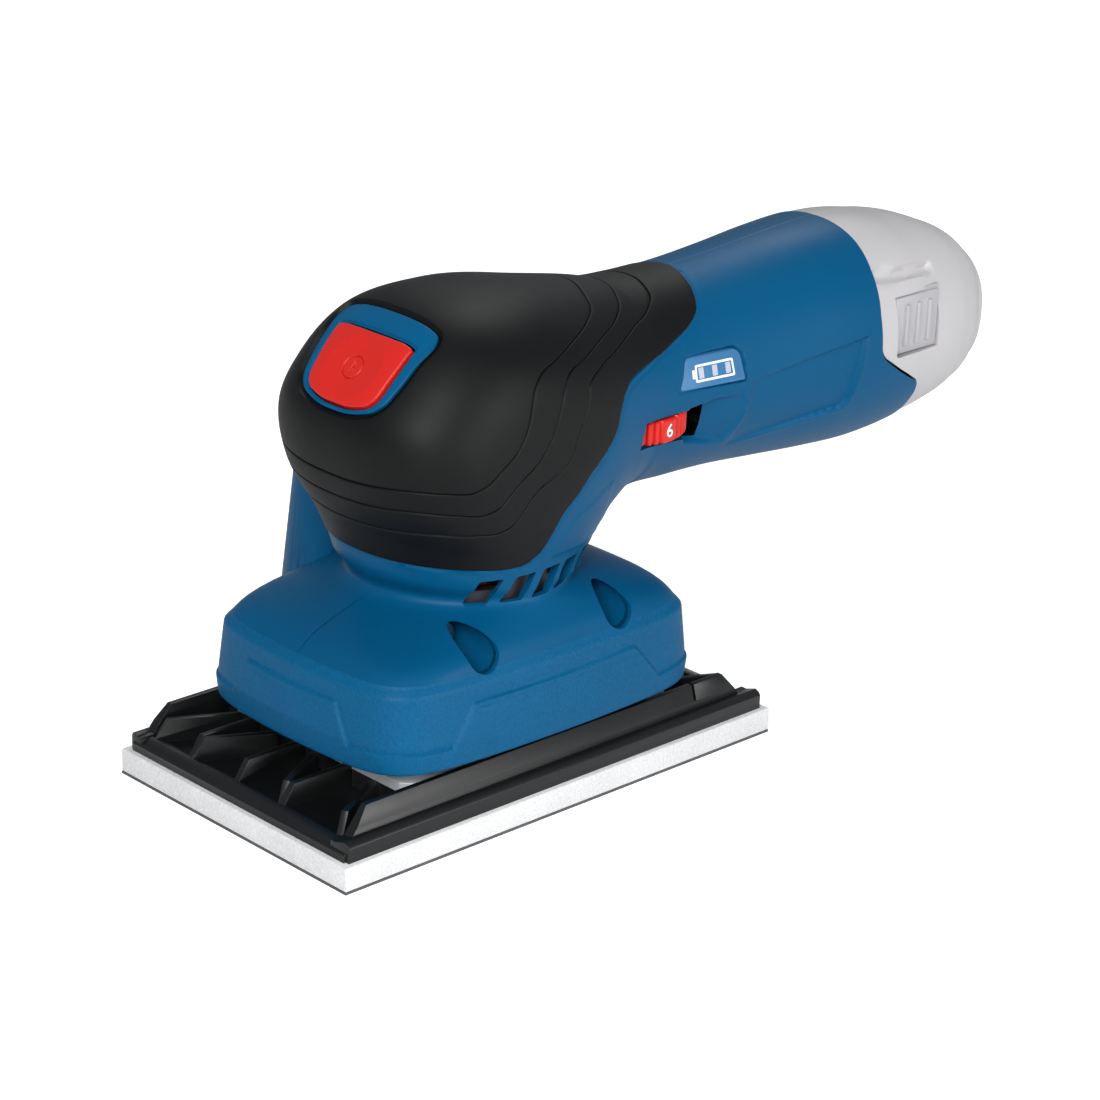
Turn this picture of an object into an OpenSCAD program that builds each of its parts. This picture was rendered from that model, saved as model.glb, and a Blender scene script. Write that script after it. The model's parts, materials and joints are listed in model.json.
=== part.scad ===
/* [Sole] */
// Width of the foam pad and of the sanding sheet it carries
pad_w = 80; // [75:0.5:100]
// Length of the foam pad and of the sanding sheet it carries
pad_l = 133; // [122:0.5:165]
// Thickness of the foam pad
pad_t = 5.7; // [4:0.1:8]
// Thickness of the hook layer that grips the sheet
hook_t = 0.6; // [0.4:0.1:1.2]
// Step from the foam's edge in to the black plate's edge
plate_inset = 1.4; // [0.5:0.1:3]
// Height of the black plate, from the foam to the top of its side walls
plate_h = 9.7; // [8:0.1:12]
// Thickness of the black plate's floor
plate_floor = 2.2; // [1.5:0.1:4]
// Thickness of each rib on the black plate
rib_t = 1.6; // [1:0.1:3]

/* [Carrier] */
// Width of the metal carrier that hangs the sole from the housing
carrier_w = 64; // [58:1:64]
// Length of the metal carrier
carrier_l = 83; // [76:1:90]
// Thickness of the metal carrier
carrier_t = 2.5; // [1.5:0.1:4]

/* [Housing] */
// Gap between the black plate's rails and the lower edge of the skirt
skirt_gap = 2.5; // [2:0.1:6]
// Width of the skirt at its widest
skirt_w = 73.8; // [72:0.2:80]
// Length of the skirt at its longest
skirt_l = 100.8; // [98:0.2:112]
// Radius of the round neck above the skirt
neck_r = 28; // [28:0.1:31]
// Width of the head at its widest
head_w = 72; // [70:0.2:80]
// Reach of the head's front from the pivot of the bend under the handle
head_reach = 91.8; // [90:0.1:98]
// Width of the handle at its slimmest
handle_w = 48.4; // [48:0.1:54]
// Height of the handle where the hand closes round it
handle_h = 50.3; // [48:0.1:56]
// Distance from the motor axis to the end of the handle
handle_end_y = 116; // [112:0.5:135]
// Distance from the motor axis to the end of the battery
battery_end_y = 166; // [163:0.5:190]
// Wall of the housing shells
wall = 3; // [2.4:0.1:3.4]
// Thickness of the soft grip
grip_t = 1.4; // [1:0.1:1.8]
// Radius of the wells that the side screws sit in
well_r = 4.4; // [4.2:0.1:5]
// Radius of the screws that hold the two shells together
shell_screw_r = 1.6; // [1.2:0.1:2]

/* [Drive] */
// Distance from the motor axis to the axis of the sole's bearing
orbit_r = 0.8; // [0.5:0.1:1.2]
// Outer radius of the sole's bearing
plate_bearing_r = 13; // [11:0.5:14]
// Radius of the eccentric pin in the sole's bearing
ecc_pin_r = 5; // [4:0.5:6]
// Width of the sole's bearing
plate_bearing_w = 8; // [6:0.5:10]
// Radius of the fan
fan_r = 24; // [21:0.5:25]
// Height of the fan
fan_h = 5.4; // [4:0.1:7]
// Radius of the rotor shaft
shaft_r = 4; // [3:0.5:5]
// Outer radius of the lower motor bearing
lower_bearing_r = 11; // [9.5:0.5:12]
// Width of the lower motor bearing
lower_bearing_w = 7; // [5:0.5:8]
// Outer radius of the stator
stator_r = 22.4; // [20:0.1:22.6]
// Height of the stator stack
stator_h = 24; // [18:1:26]
// Outer radius of the rotor magnets
rotor_r = 11.6; // [9:0.1:12.5]
// Air gap between the magnets and the stator
air_gap = 0.5; // [0.3:0.1:1]

/* [Controls] */
// Width of the switch button at its widest
button_w = 24; // [20:0.5:26]
// Travel of the switch button
button_travel = 1.6; // [1:0.1:2.5]
// Radius of the speed dial over its ribs
dial_r = 15; // [13:0.5:16]
// Thickness of the speed dial
dial_t = 5.6; // [4:0.1:7]

/* [Battery] */
// Radius of one battery cell
cell_r = 9.2; // [8.8:0.1:9.3]
// Length of one battery cell
cell_l = 65; // [60:0.5:70]
// Wall of the battery's stem
stem_wall = 1.4; // [1:0.1:1.5]
// Travel of each battery key
key_travel = 1.6; // [1:0.1:2]

/* [Dust outlet] */
// Inner radius of the socket that a hose or a dust box pushes into
outlet_r = 9.5; // [8:0.1:11.5]
// Wall of the outlet
outlet_wall = 1.8; // [1.4:0.1:2.4]
// Depth of the outlet's round socket
outlet_depth = 22; // [14:1:30]

/* [Fits] */
// Radial gap of a part that turns in another
run_gap = 0.05; // [0.02:0.01:0.1]
// Gap between parts that move past each other
slide_gap = 0.35; // [0.25:0.05:0.6]
// Gap between the soft grip and the shell under it
bond_gap = 0.02; // [0.01:0.01:0.05]

/* [Hidden] */
$fn = 48;
eps = 0.01;
far = 200;

// Heights of the sole and of the carrier
pad_top = hook_t + pad_t;
plate_top = pad_top + plate_h;
carrier_z = plate_top - 3.5;
carrier_top = carrier_z + carrier_t;
plate_w = pad_w - 2 * plate_inset;
plate_l = pad_l - 2 * plate_inset;
skirt_z = plate_top + skirt_gap;

// Heights of the drive, from the sole's bearing up to the top bearing
pin_z = carrier_top + 0.2;
pin_top = pin_z + plate_bearing_w;
flange_z = pin_top + 0.8;
flange_top = flange_z + 2.4;
weight_z = flange_top + 0.2;
weight_t = 3.2;
fan_z = weight_z + weight_t + 0.4;
fan_top = fan_z + fan_h;
hub_r = shaft_r + 3;
well_wall = 1.4;
well_z = fan_top + well_r + well_wall + 0.3;
frame_floor_z = well_z + well_r + well_wall + 0.2;
lower_bearing_top = frame_floor_z + 1;
lower_bearing_z = lower_bearing_top - lower_bearing_w;
frame_z = lower_bearing_z - 1.5;
frame_wall = 1.8;
frame_r = stator_r + frame_wall;
stator_z = lower_bearing_top + 4.5;
stator_top = stator_z + stator_h;
winding_h = 3;
bracket_z = stator_top + winding_h + 2;
bracket_t = 2.4;
upper_bearing_r = 9.5;
upper_bearing_w = 6;
upper_journal_r = shaft_r - 1;
upper_bearing_z = bracket_z + bracket_t;

// The pivot that the body bends about, under the handle
pivot_y = 42;
pivot_z = skirt_z + 28.5;
bend_r = 12.5;
neck_reach = pivot_y + neck_r + 0.2;
half_head = head_w / 2;
half_handle = handle_w / 2;
half_skirt_w = skirt_w / 2;
half_skirt_l = skirt_l / 2;
handle_reach = 11 + handle_h;
handle_z = pivot_z + 35.9;
chin_y = handle_end_y + 16;

// Number of facets round half of the body
half_sides = 18;

// Skirt: height over its lower edge, half width, half length, squareness, share of the wall taken upwards,
// extra length at the front
skirt_y = 0.8;
skirt_sections = [
    [0, half_skirt_w - 0.4, half_skirt_l - 0.7, 5, 0, skirt_y],
    [6, half_skirt_w, half_skirt_l, 5.2, 0, skirt_y],
    [17.8, half_skirt_w - 1.3, half_skirt_l - 1.5, 6, 0.5, skirt_y],
    [19.9, half_skirt_w - 2.7, half_skirt_l - 3, 5.6, 0.8, skirt_y],
    [23.5, half_skirt_w - 4.5, half_skirt_l - 7.6, 3.6, 0.9, 0.25],
    [26.1, neck_r + 2, neck_r + 8.2, 2.7, 0.8, -0.25],
    [27.4, neck_r + 0.8, neck_r + 4.2, 2.3, 0.3, -0.25],
];

// Bend: tilt, reach of the outer side, radius of the inner side, half width, squareness, taper
bend_sections = [
    [0, neck_reach, bend_r, neck_r, 2, 0],
    [6, neck_reach + 1.2, bend_r, neck_r + 0.1, 2.05, 0.04],
    [13, neck_reach + 5.8, bend_r - 0.2, neck_r + 1.7, 2.2, 0.1],
    [21, head_reach - 6, bend_r - 0.5, half_head - 2.7, 2.5, 0.2],
    [29, head_reach + 0.1, bend_r - 0.5, half_head - 0.5, 2.7, 0.26],
    [37, head_reach + 0.1, bend_r - 0.9, half_head, 2.7, 0.26],
    [46, head_reach - 2.1, bend_r - 1.3, half_head - 0.7, 2.55, 0.24],
    [58, head_reach - 11.7, bend_r - 1.5, half_head - 3.2, 2.35, 0.18],
    [72, handle_reach + 7.5, bend_r - 1.5, half_handle + 4.4, 2.2, 0.1],
    [90, handle_reach, bend_r - 1.5, half_handle + 0.6, 2.1, 0],
];

// Handle and battery: distance along Y, lower and upper edge from the handle's axis, half width, squareness
handle_sections = [
    [55, 25.3, 24.8, half_handle - 0.2, 2.1],
    [70, 25.7, 25.1, half_handle, 2.1],
    [88, 27.1, 26.5, half_handle + 1, 2.1],
    [handle_end_y - 11, 28.2, 28, half_handle + 2.4, 2.15],
    [handle_end_y + 2, 28.6, 28.6, half_handle + 2.8, 2.2],
    [handle_end_y + 14, 27.4, 27.8, half_handle + 2.4, 2.3],
    [handle_end_y + 20, 26.6, 26.8, half_handle + 1.8, 2.3],
];
battery_sections = [
    [handle_end_y + 26, 25.8, 25.8, half_handle + 1.2, 2.3],
    [battery_end_y - 14, 23.3, 22.2, half_handle - 0.8, 2.4],
    [battery_end_y - 6, 20.3, 16.7, half_handle - 4.2, 2.4],
    [battery_end_y - 1.5, 16.3, 10.2, half_handle - 8.7, 2.3],
    [battery_end_y, 10.8, 3.2, half_handle - 15.2, 2],
];

// A section is [y, z, tilt, half width, outer length, inner length, squareness, taper], w inside the surface
function skirt_at(s, w) =
    [skirt_y, skirt_z + s[0] - s[4] * w, 0, s[1] - w, s[2] + s[5] - w, s[2] - s[5] - w, s[3], 0];
function bend_at(s, w) =
    let (outer = s[1] - w, inner = s[2] + w, middle = (outer + inner) / 2, half = (outer - inner) / 2)
    [pivot_y - cos(s[0]) * middle, pivot_z + sin(s[0]) * middle, s[0], s[3] - w, half, half, s[4], s[5]];
function handle_at(s, w) =
    let (half = (s[1] + s[2]) / 2 - w)
    [s[0], handle_z + (s[2] - s[1]) / 2, 90, s[3] - w, half, half, s[4], 0];
function body_at(w) = concat(
    [for (s = skirt_sections) skirt_at(s, w)],
    [for (s = bend_sections) bend_at(s, w)],
    [for (s = handle_sections) handle_at(s, w)]
);
function head_at(w) = concat(
    [for (s = bend_sections) bend_at(s, w)],
    [for (i = [0:2]) handle_at(handle_sections[i], w)]
);
function battery_at(w) = concat(
    [for (i = [3:6]) handle_at(handle_sections[i], w)],
    [for (s = battery_sections) handle_at(s, w)]
);
function power(v, n) = sign(v) * pow(abs(v), 2 / n);
function on_section(s, a) =
    let (c = cos(a), along = (c >= 0 ? s[4] : s[5]) * power(c, s[6]))
    [s[3] * power(sin(a), s[6]) * (1 - s[7] * (1 - c) / 2), s[0] - along * cos(s[2]), s[1] + along * sin(s[2])];

// Two triangles for the four corners of a patch, split one way or the other
function patch(a, b, c, d, turned = false) = turned ? [[a, b, d], [b, c, d]] : [[a, b, c], [a, c, d]];
function joined(lists) = [for (l = lists) for (x = l) x];

// Triangles between rings of m points each, n rings in all, split the other way from point turn on
function sides(n, m, turn) = joined([
    for (i = [0:n - 2]) for (j = [0:m - 1])
        patch(i * m + j, (i + 1) * m + j, (i + 1) * m + (j + 1) % m, i * m + (j + 1) % m, j >= turn)
]);

// A solid through full sections
module loft(sections) {
    m = 2 * half_sides;
    n = len(sections);
    polyhedron(
        points = [for (s = sections) for (k = [0:m - 1]) on_section(s, k * 360 / m)],
        faces = concat(
            sides(n, m, half_sides),
            [for (k = [1:m - 2]) [0, k, k + 1]],
            [for (k = [1:m - 2]) [(n - 1) * m, (n - 1) * m + k + 1, (n - 1) * m + k]]
        )
    );
}

// The right half of a wall between outer and inner sections, open at both ends
module half_wall(outer, inner) {
    h = half_sides + 1;
    m = 2 * h;
    n = len(outer);
    polyhedron(
        points = [
            for (i = [0:n - 1]) for (k = [0:m - 1])
                k < h
                    ? on_section(outer[i], k * 180 / half_sides)
                    : on_section(inner[i], (m - 1 - k) * 180 / half_sides)
        ],
        faces = concat(
            sides(n, m, m),
            joined([for (k = [0:h - 2]) patch(k, k + 1, m - 2 - k, m - 1 - k)]),
            joined([
                for (k = [0:h - 2])
                    patch((n - 1) * m + k, (n - 1) * m + m - 1 - k, (n - 1) * m + m - 2 - k, (n - 1) * m + k + 1)
            ])
        )
    );
}

// A full wall between outer and inner sections, open at both ends
module tube_wall(outer, inner) {
    m = 2 * half_sides;
    n = len(outer);
    k0 = n * m;
    last = (n - 1) * m;
    polyhedron(
        points = concat(
            [for (s = outer) for (k = [0:m - 1]) on_section(s, k * 360 / m)],
            [for (s = inner) for (k = [0:m - 1]) on_section(s, k * 360 / m)]
        ),
        faces = concat(
            sides(n, m, half_sides),
            [for (f = sides(n, m, half_sides)) [k0 + f[2], k0 + f[1], k0 + f[0]]],
            joined([for (k = [0:m - 1]) patch(k, (k + 1) % m, k0 + (k + 1) % m, k0 + k)]),
            joined([for (k = [0:m - 1]) patch(last + k, k0 + last + k, k0 + last + (k + 1) % m, last + (k + 1) % m)])
        )
    );
}

// Draws a side view outline, Y across and Z up, right through the body or from x0 to x1
module side_prism(x0 = -far, x1 = far) {
    translate([x0, 0, 0])
        rotate([90, 0, 90])
            linear_extrude(height = x1 - x0)
                children();
}

// A plain ring
module ring(r_out, r_in, h) {
    difference() {
        cylinder(r = r_out, h = h);
        translate([0, 0, -1]) cylinder(r = r_in, h = h + 2);
    }
}

// Copies its children at each place
module at_each(places) {
    for (p = places) translate(p) children();
}

// ---------------------------------------------------------------- side view outlines

// The soft grip's edge runs flat round the front and climbs to the top of the handle
module grip_outline(grow = 0) {
    z0 = pivot_z + 10.8 - grow;
    polygon([
        [-90, z0], [-7 + grow, z0 - 0.4], [-2 + grow, pivot_z + 11.6 - grow], [1 + grow, pivot_z + 14.4],
        [8 + grow, pivot_z + 20.4], [20 + grow, pivot_z + 28], [22 + grow, pivot_z + 32],
        [23.5 + grow, pivot_z + 38], [27 + grow, pivot_z + 45 - grow], [38, pivot_z + 48.6 - grow],
        [57, pivot_z + 53.5 - grow], [60 + grow, pivot_z + 56], [65 + grow, pivot_z + 61],
        [67 + grow, pivot_z + 90], [-90, pivot_z + 90],
    ]);
}

// Where the battery's outer cover starts: behind the handle's end and above its chin
module battery_outline(gap = 0) {
    y0 = handle_end_y + gap;
    polygon([
        [y0, handle_z + 60], [y0, handle_z - 2.7 + gap], [handle_end_y + 7, handle_z - 6.2 + gap],
        [chin_y - 1.5, handle_z - 11.4 + gap], [chin_y + gap, handle_z - 14.4],
        [chin_y + gap, handle_z - 60], [battery_end_y + 20, handle_z - 60], [battery_end_y + 20, handle_z + 60],
    ]);
}

// ---------------------------------------------------------------- housing

// Side screws: two go in from the right, in the skirt's wells, and three from the left along the handle
well_places = [[-21, well_z], [20.6, well_z]];
handle_screw_places = [[35.5, pivot_z + 15.4], [77, handle_z - 20.2], [77, handle_z + 19.6]];
well_floor = 17;
handle_well_floor = 7;
boss_r = shell_screw_r + 1.8;
boss_depth = 12;

module along_x(place, x0, x1, r) {
    translate([x0, place[0], place[1]])
        rotate([0, 90, 0])
            cylinder(r = r, h = x1 - x0);
}

// Vent slots round the neck lean over by a few degrees
vent_angles = [59, 77, 94, 110, 127];
vent_lean = 28;
module vents() {
    for (a = vent_angles)
        rotate([0, 0, a - 90])
            translate([neck_r - 2, skirt_y, pivot_z + 4.5])
                rotate([-vent_lean, 0, 0])
                    cube([14, 4.5, 6.2], center = true);
}

// Frame of the sloping switch panel: its own Z points out of the head's front
switch_y = -30.9;
switch_z = pivot_z + 54.5;
module in_switch_frame() {
    translate([0, switch_y, switch_z])
        rotate([45, 0, 0])
            children();
}
bezel_grow = 2.6;
module button_outline(grow = 0) {
    half = button_w / 2 + grow;
    polygon([
        [-half + 1.4, 8.2 + grow], [half - 1.4, 8.2 + grow], [half, 6.8 + grow], [half - 0.7, -5.6 - grow / 2],
        [half - 3, -8 - grow * 0.8], [half / 2, -8.9 - grow], [-half / 2, -8.9 - grow],
        [-half + 3, -8 - grow * 0.8], [-half + 0.7, -5.6 - grow / 2], [-half, 6.8 + grow],
    ]);
}
module bezel_outline(grow = 0) {
    half = button_w / 2 + bezel_grow + grow;
    polygon([
        [-half + 2.2, 13.6 + grow], [half - 2.2, 13.6 + grow], [half, 10.4 + grow], [half, 8],
        [half - 0.9, -6.9 - grow / 2], [half - 3.2, -10.4 - grow], [half / 2, -11.6 - grow],
        [-half / 2, -11.6 - grow], [-half + 3.2, -10.4 - grow], [-half + 0.9, -6.9 - grow / 2],
        [-half, 8], [-half, 10.4 + grow],
    ]);
}

// Places on the right side of the handle
dial_x = half_handle - 13.5;
dial_y = 41.8;
dial_z = pivot_z + 28.2;
display_y = 57.8;
display_z = handle_z + 5.6;
display_x = half_handle - 4.4;
display_l = 16;
display_h = 5.4;

module dial_space() {
    translate([dial_x, dial_y, dial_z - slide_gap])
        cylinder(r = dial_r + slide_gap, h = dial_t + 2 * slide_gap);
    translate([half_handle - 5, dial_y - 6, dial_z - slide_gap])
        cube([40, 16.8, dial_t + 2 * slide_gap]);
}
module display_window(grow = 0) {
    translate([display_x - 1, display_y - display_l / 2 - grow, display_z - display_h / 2 - grow])
        cube([40, display_l + 2 * grow, display_h + 2 * grow]);
}
module label_recess() {
    side_prism(half_handle - 0.9, half_handle + 30)
        polygon([
            [71, handle_z + 0.6], [110, handle_z + 6.4], [107.5, handle_z - 8],
            [106, handle_z - 12.5], [68, handle_z - 14.8],
        ]);
}

module grip_space(grow) {
    intersection() {
        tube_wall(head_at(-2), head_at(grip_t + grow));
        side_prism() grip_outline(grow);
    }
}

// What both shells share, drawn as the right one
module shell_body() {
    half_wall(body_at(0), body_at(wall));
    for (p = post_places)
        if (p[0] > 0)
            intersection() {
                translate([p[0], p[1], post_top])
                    cylinder(r = post_r + 1, h = 30);
                loft([for (i = [0:8]) body_at(wall / 2)[i]]);
            }
}

module shell_cuts() {
    side_prism() battery_outline();
    grip_space(bond_gap);
    in_switch_frame()
        translate([0, 0, -12])
            linear_extrude(height = 40)
                bezel_outline(bond_gap);
    vents();
    for (p = post_places) translate([p[0], p[1], post_top - 1]) cylinder(r = post_screw_r, h = 6);
}

module housing_right() {
    color("#1f699c")
        difference() {
            union() {
                shell_body();
                for (p = well_places) {
                    along_x(p, 0, well_floor, boss_r);
                    intersection() {
                        along_x(p, well_floor - 2.5, 60, well_r + well_wall);
                        loft([for (i = [0:8]) body_at(wall / 2)[i]]);
                    }
                }
                for (p = handle_screw_places) along_x(p, 0, boss_depth, boss_r);
            }
            shell_cuts();
            for (p = well_places) {
                along_x(p, well_floor, 80, well_r);
                along_x(p, -1, well_floor + 1, shell_screw_r);
            }
            for (p = handle_screw_places) along_x(p, -1, boss_depth - 2, shell_screw_r);
            dial_space();
            display_window();
            label_recess();
        }
}

module housing_left() {
    color("#1f699c")
        difference() {
            union() {
                mirror([1, 0, 0]) {
                    shell_body();
                    for (p = handle_screw_places)
                        intersection() {
                            along_x(p, 0, 40, boss_r + 1.2);
                            loft(body_at(wall / 2));
                        }
                }
                for (p = well_places)
                    intersection() {
                        along_x(p, -60, 0, boss_r);
                        loft([for (i = [0:8]) body_at(wall / 2)[i]]);
                    }
            }
            mirror([1, 0, 0]) shell_cuts();
            for (p = well_places) along_x(p, 2 - boss_depth, 1, shell_screw_r);
            for (p = handle_screw_places) {
                along_x(p, -handle_well_floor, 1, shell_screw_r);
                along_x(p, -80, -handle_well_floor, boss_r);
            }
            spigot(slide_gap);
        }
}

module soft_grip() {
    color("#17181a")
        difference() {
            intersection() {
                tube_wall(head_at(0), head_at(grip_t));
                side_prism() grip_outline();
            }
            in_switch_frame()
                translate([0, 0, -12])
                    linear_extrude(height = 40)
                        bezel_outline(bond_gap);
        }
}

// A screw along X, with its head at head_x and its point at tip_x
module side_screw(place, head_x, tip_x) {
    out = sign(head_x);
    along_x(place, min(head_x, head_x + 2.4 * out), max(head_x, head_x + 2.4 * out), shell_screw_r * 1.9);
    along_x(place, min(head_x, tip_x), max(head_x, tip_x), shell_screw_r);
}

module housing_screws() {
    color("#8d8f92") {
        for (p = well_places) side_screw(p, well_floor, 3 - boss_depth);
        for (p = handle_screw_places) side_screw(p, -handle_well_floor, boss_depth - 3);
    }
}

// ---------------------------------------------------------------- dust outlet

// A riser stands beside the neck, tapers upwards and bends back into a round socket along +Y
outlet_outer = outlet_r + outlet_wall;
riser_x = -neck_r - outlet_outer - 2.5;
riser_y = -1;
riser_z = skirt_z + 12;
riser_foot_r = outlet_outer + 1.8;
riser_head_r = outlet_outer - 0.9;
outlet_z = skirt_z + 39.5;
collar_y = riser_y - 3;
outlet_mouth_y = riser_y + 13 + outlet_depth;
spigot_w = 18.5;
spigot_h = 6;
spigot_z = riser_z + 2;
spigot_x = -fan_r - 4;

module spigot(grow) {
    translate([riser_x + 1, riser_y - spigot_w / 2 - grow, spigot_z - grow])
        cube([spigot_x - riser_x - 1, spigot_w + 2 * grow, spigot_h + 2 * grow]);
}

module outlet_shape() {
    translate([riser_x, riser_y, riser_z])
        cylinder(r1 = riser_foot_r, r2 = riser_head_r, h = outlet_z - riser_z);
    translate([riser_x, riser_y, riser_z - 3])
        cylinder(r1 = riser_foot_r - 3, r2 = riser_foot_r, h = 3);
    translate([riser_x, riser_y, outlet_z]) sphere(r = riser_head_r);
    translate([riser_x, collar_y, outlet_z])
        rotate([-90, 0, 0])
            cylinder(r = outlet_outer, h = outlet_mouth_y - collar_y);
}

module dust_outlet() {
    duct_r = outlet_r - 1.2;
    color("#1f699c")
        difference() {
            union() {
                difference() {
                    outlet_shape();
                    loft([for (i = [0:14]) body_at(-slide_gap)[i]]);
                    translate([riser_x, outlet_mouth_y - outlet_depth, outlet_z])
                        rotate([-90, 0, 0])
                            cylinder(r = outlet_r, h = outlet_depth + 1);
                    translate([riser_x, riser_y, outlet_z])
                        rotate([-90, 0, 0])
                            cylinder(r = duct_r, h = outlet_depth);
                    translate([riser_x, riser_y, outlet_z]) sphere(r = duct_r);
                }
                spigot(0);
            }
            translate([riser_x, riser_y, riser_z + 1])
                cylinder(r = duct_r, h = outlet_z - riser_z - 1);
            translate([riser_x, riser_y - spigot_w / 2 + 1.2, spigot_z + 1.2])
                cube([spigot_x - riser_x + 1, spigot_w - 2.4, spigot_h - 2.4]);
        }
}

// ---------------------------------------------------------------- switch

button_t = 3;
button_gap = 0.3;
button_proud = 0.9;
bezel_t = button_travel + button_t + 1;
pocket_z = button_proud - button_t - button_travel - 0.2;
unit_depth = 11;
unit_t = 4.5;

// The bezel has two legs that hold the switch behind it
module switch_bezel() {
    color("#2672a8")
        in_switch_frame() {
            for (side = [0, 1])
                mirror([side, 0, 0])
                    translate([8.2, -5, -unit_depth - unit_t])
                        cube([1.6, 10, unit_depth + unit_t + pocket_z - 0.1]);
            difference() {
                translate([0, 0, -bezel_t])
                    linear_extrude(height = bezel_t)
                        bezel_outline();
                translate([0, 0, pocket_z])
                    linear_extrude(height = bezel_t + 2)
                        button_outline(button_gap);
                translate([0, 0, -bezel_t - 1]) cylinder(r = 6.4, h = bezel_t + 2);
            }
        }
}

module switch_button() {
    color("#cf302a")
        in_switch_frame() {
            translate([0, 0, button_proud - button_t])
                linear_extrude(height = button_t)
                    button_outline();
            translate([0, 0, -unit_depth + button_travel + 1.2])
                cylinder(r = 2.2, h = unit_depth - button_travel - 1.2 + button_proud - button_t);
        }
}

module button_spring() {
    color("#b9bbbd")
        in_switch_frame()
            translate([0, 0, -unit_depth + 1])
                ring(4.4, 3.2, unit_depth - 1 + button_proud - button_t - eps);
}

module switch_unit() {
    color("#2b2d30")
        in_switch_frame() {
            translate([-8.15, -6, -unit_depth - unit_t]) cube([16.3, 12, unit_t]);
            difference() {
                translate([0, 0, -unit_depth - eps]) cylinder(r = 6, h = 1);
                translate([0, 0, -unit_depth + 0.3]) cylinder(r = 2.6, h = 2);
            }
        }
}

// ---------------------------------------------------------------- speed dial and display

dial_bore_r = 3;
dial_ribs = 28;
module speed_dial() {
    color("#c8352c")
        translate([dial_x, dial_y, dial_z])
            difference() {
                union() {
                    cylinder(r = dial_r - 0.8, h = dial_t);
                    for (i = [0:dial_ribs - 1])
                        rotate([0, 0, i * 360 / dial_ribs])
                            translate([dial_r - 1.6, -0.55, 0])
                                cube([1.6, 1.1, dial_t]);
                }
                translate([0, 0, -1]) cylinder(r = dial_bore_r, h = dial_t + 2);
            }
}

module dial_potentiometer() {
    color("#3c4a3f")
        translate([dial_x, dial_y, 0]) {
            translate([0, 0, dial_z - 5]) cylinder(r = 6, h = 4.6);
            translate([0, 0, dial_z - 0.5]) cylinder(r = dial_bore_r - run_gap, h = dial_t + 1);
            translate([-5, -5, dial_z - 6.4]) cube([10, 10, 1.5]);
        }
}

module charge_display() {
    color("#2672a8")
        difference() {
            intersection() {
                translate([display_x, 0, 0])
                    side_prism(0, 5.2)
                        polygon([
                            [display_y - 8, display_z + 2.7], [display_y + 8, display_z + 2.7],
                            [display_y + 8, display_z - 2.7], [display_y - 8, display_z - 2.7],
                        ]);
                display_window(-bond_gap);
            }
            for (i = [-1:1])
                translate([display_x - 1, display_y + i * 5 - 0.9, display_z - 1.4])
                    cube([10, 1.8, 2.8]);
        }
}

module charge_lights() {
    color("#b5b8c9") {
        translate([display_x - 1.6, display_y - 8, display_z - 2.7]) cube([1.6 - eps, 16, 5.4]);
        for (i = [-1:1])
            translate([display_x - 0.5, display_y + i * 5 - 0.85, display_z - 1.35])
                cube([5, 1.7, 2.7]);
    }
}

// ---------------------------------------------------------------- electronics

board_z = dial_z - 8;
board_t = 1.6;
board_y0 = 34.5;
board_y1 = 71;
block_y = 73;
block_t = 4;
block_w = handle_w - 2 * wall - 7.4;
stem_y = 84;
stem_nose = 3;

module control_board() {
    color("#2f6b3c") {
        translate([-15, board_y0, board_z]) cube([30, board_y1 - board_y0, board_t]);
        for (i = [0:5])
            translate([-13 + 4.4 * i, board_y1 - 8, board_z + board_t - eps]) cube([3.4, 5, 1.6]);
    }
}

module board_capacitors() {
    color("#3a3d55")
        for (y = [board_y0 + 11, board_y0 + 21])
            translate([-8, y, board_z + board_t]) cylinder(r = 4, h = 11);
}

module terminal_block() {
    color("#26282b")
        difference() {
            translate([-block_w / 2, block_y, handle_z - 13]) cube([block_w, block_t, 26]);
            for (x = [-8, 0, 8])
                translate([x - 0.5, block_y - 1, handle_z - 4]) cube([1, block_t + 2, 8]);
        }
}

blade_l = stem_y + stem_nose + 0.6 - (block_y - 1.6);
module contact_blades() {
    color("#c9a24a")
        for (x = [-8, 0, 8])
            translate([x - 0.4, block_y - 1.6, handle_z - 3.6]) cube([0.8, blade_l, 7.2]);
}

// Three insulated leads from the stator's top over to the board
lead_r = 1.1;
lead_places = [-16, -13, -10];
lead_y0 = 10;
lead_y1 = board_y0 + 3;
lead_z = stator_top + winding_h + 0.1 + lead_r;
module motor_leads() {
    color("#303235")
        for (i = [0:2]) {
            translate([lead_places[i], lead_y0 + 2 * i, stator_top + winding_h]) cylinder(r = lead_r, h = 0.1 + lead_r);
            translate([lead_places[i], lead_y0 + 2 * i, lead_z])
                rotate([-90, 0, 0])
                    cylinder(r = lead_r, h = lead_y1 - lead_y0 - 2 * i);
            translate([lead_places[i], lead_y0 + 2 * i, lead_z]) sphere(r = lead_r);
            translate([lead_places[i], lead_y1, lead_z]) sphere(r = lead_r);
            translate([lead_places[i], lead_y1, board_z + board_t])
                cylinder(r = lead_r, h = lead_z - board_z - board_t);
        }
}

// ---------------------------------------------------------------- motor

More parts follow.
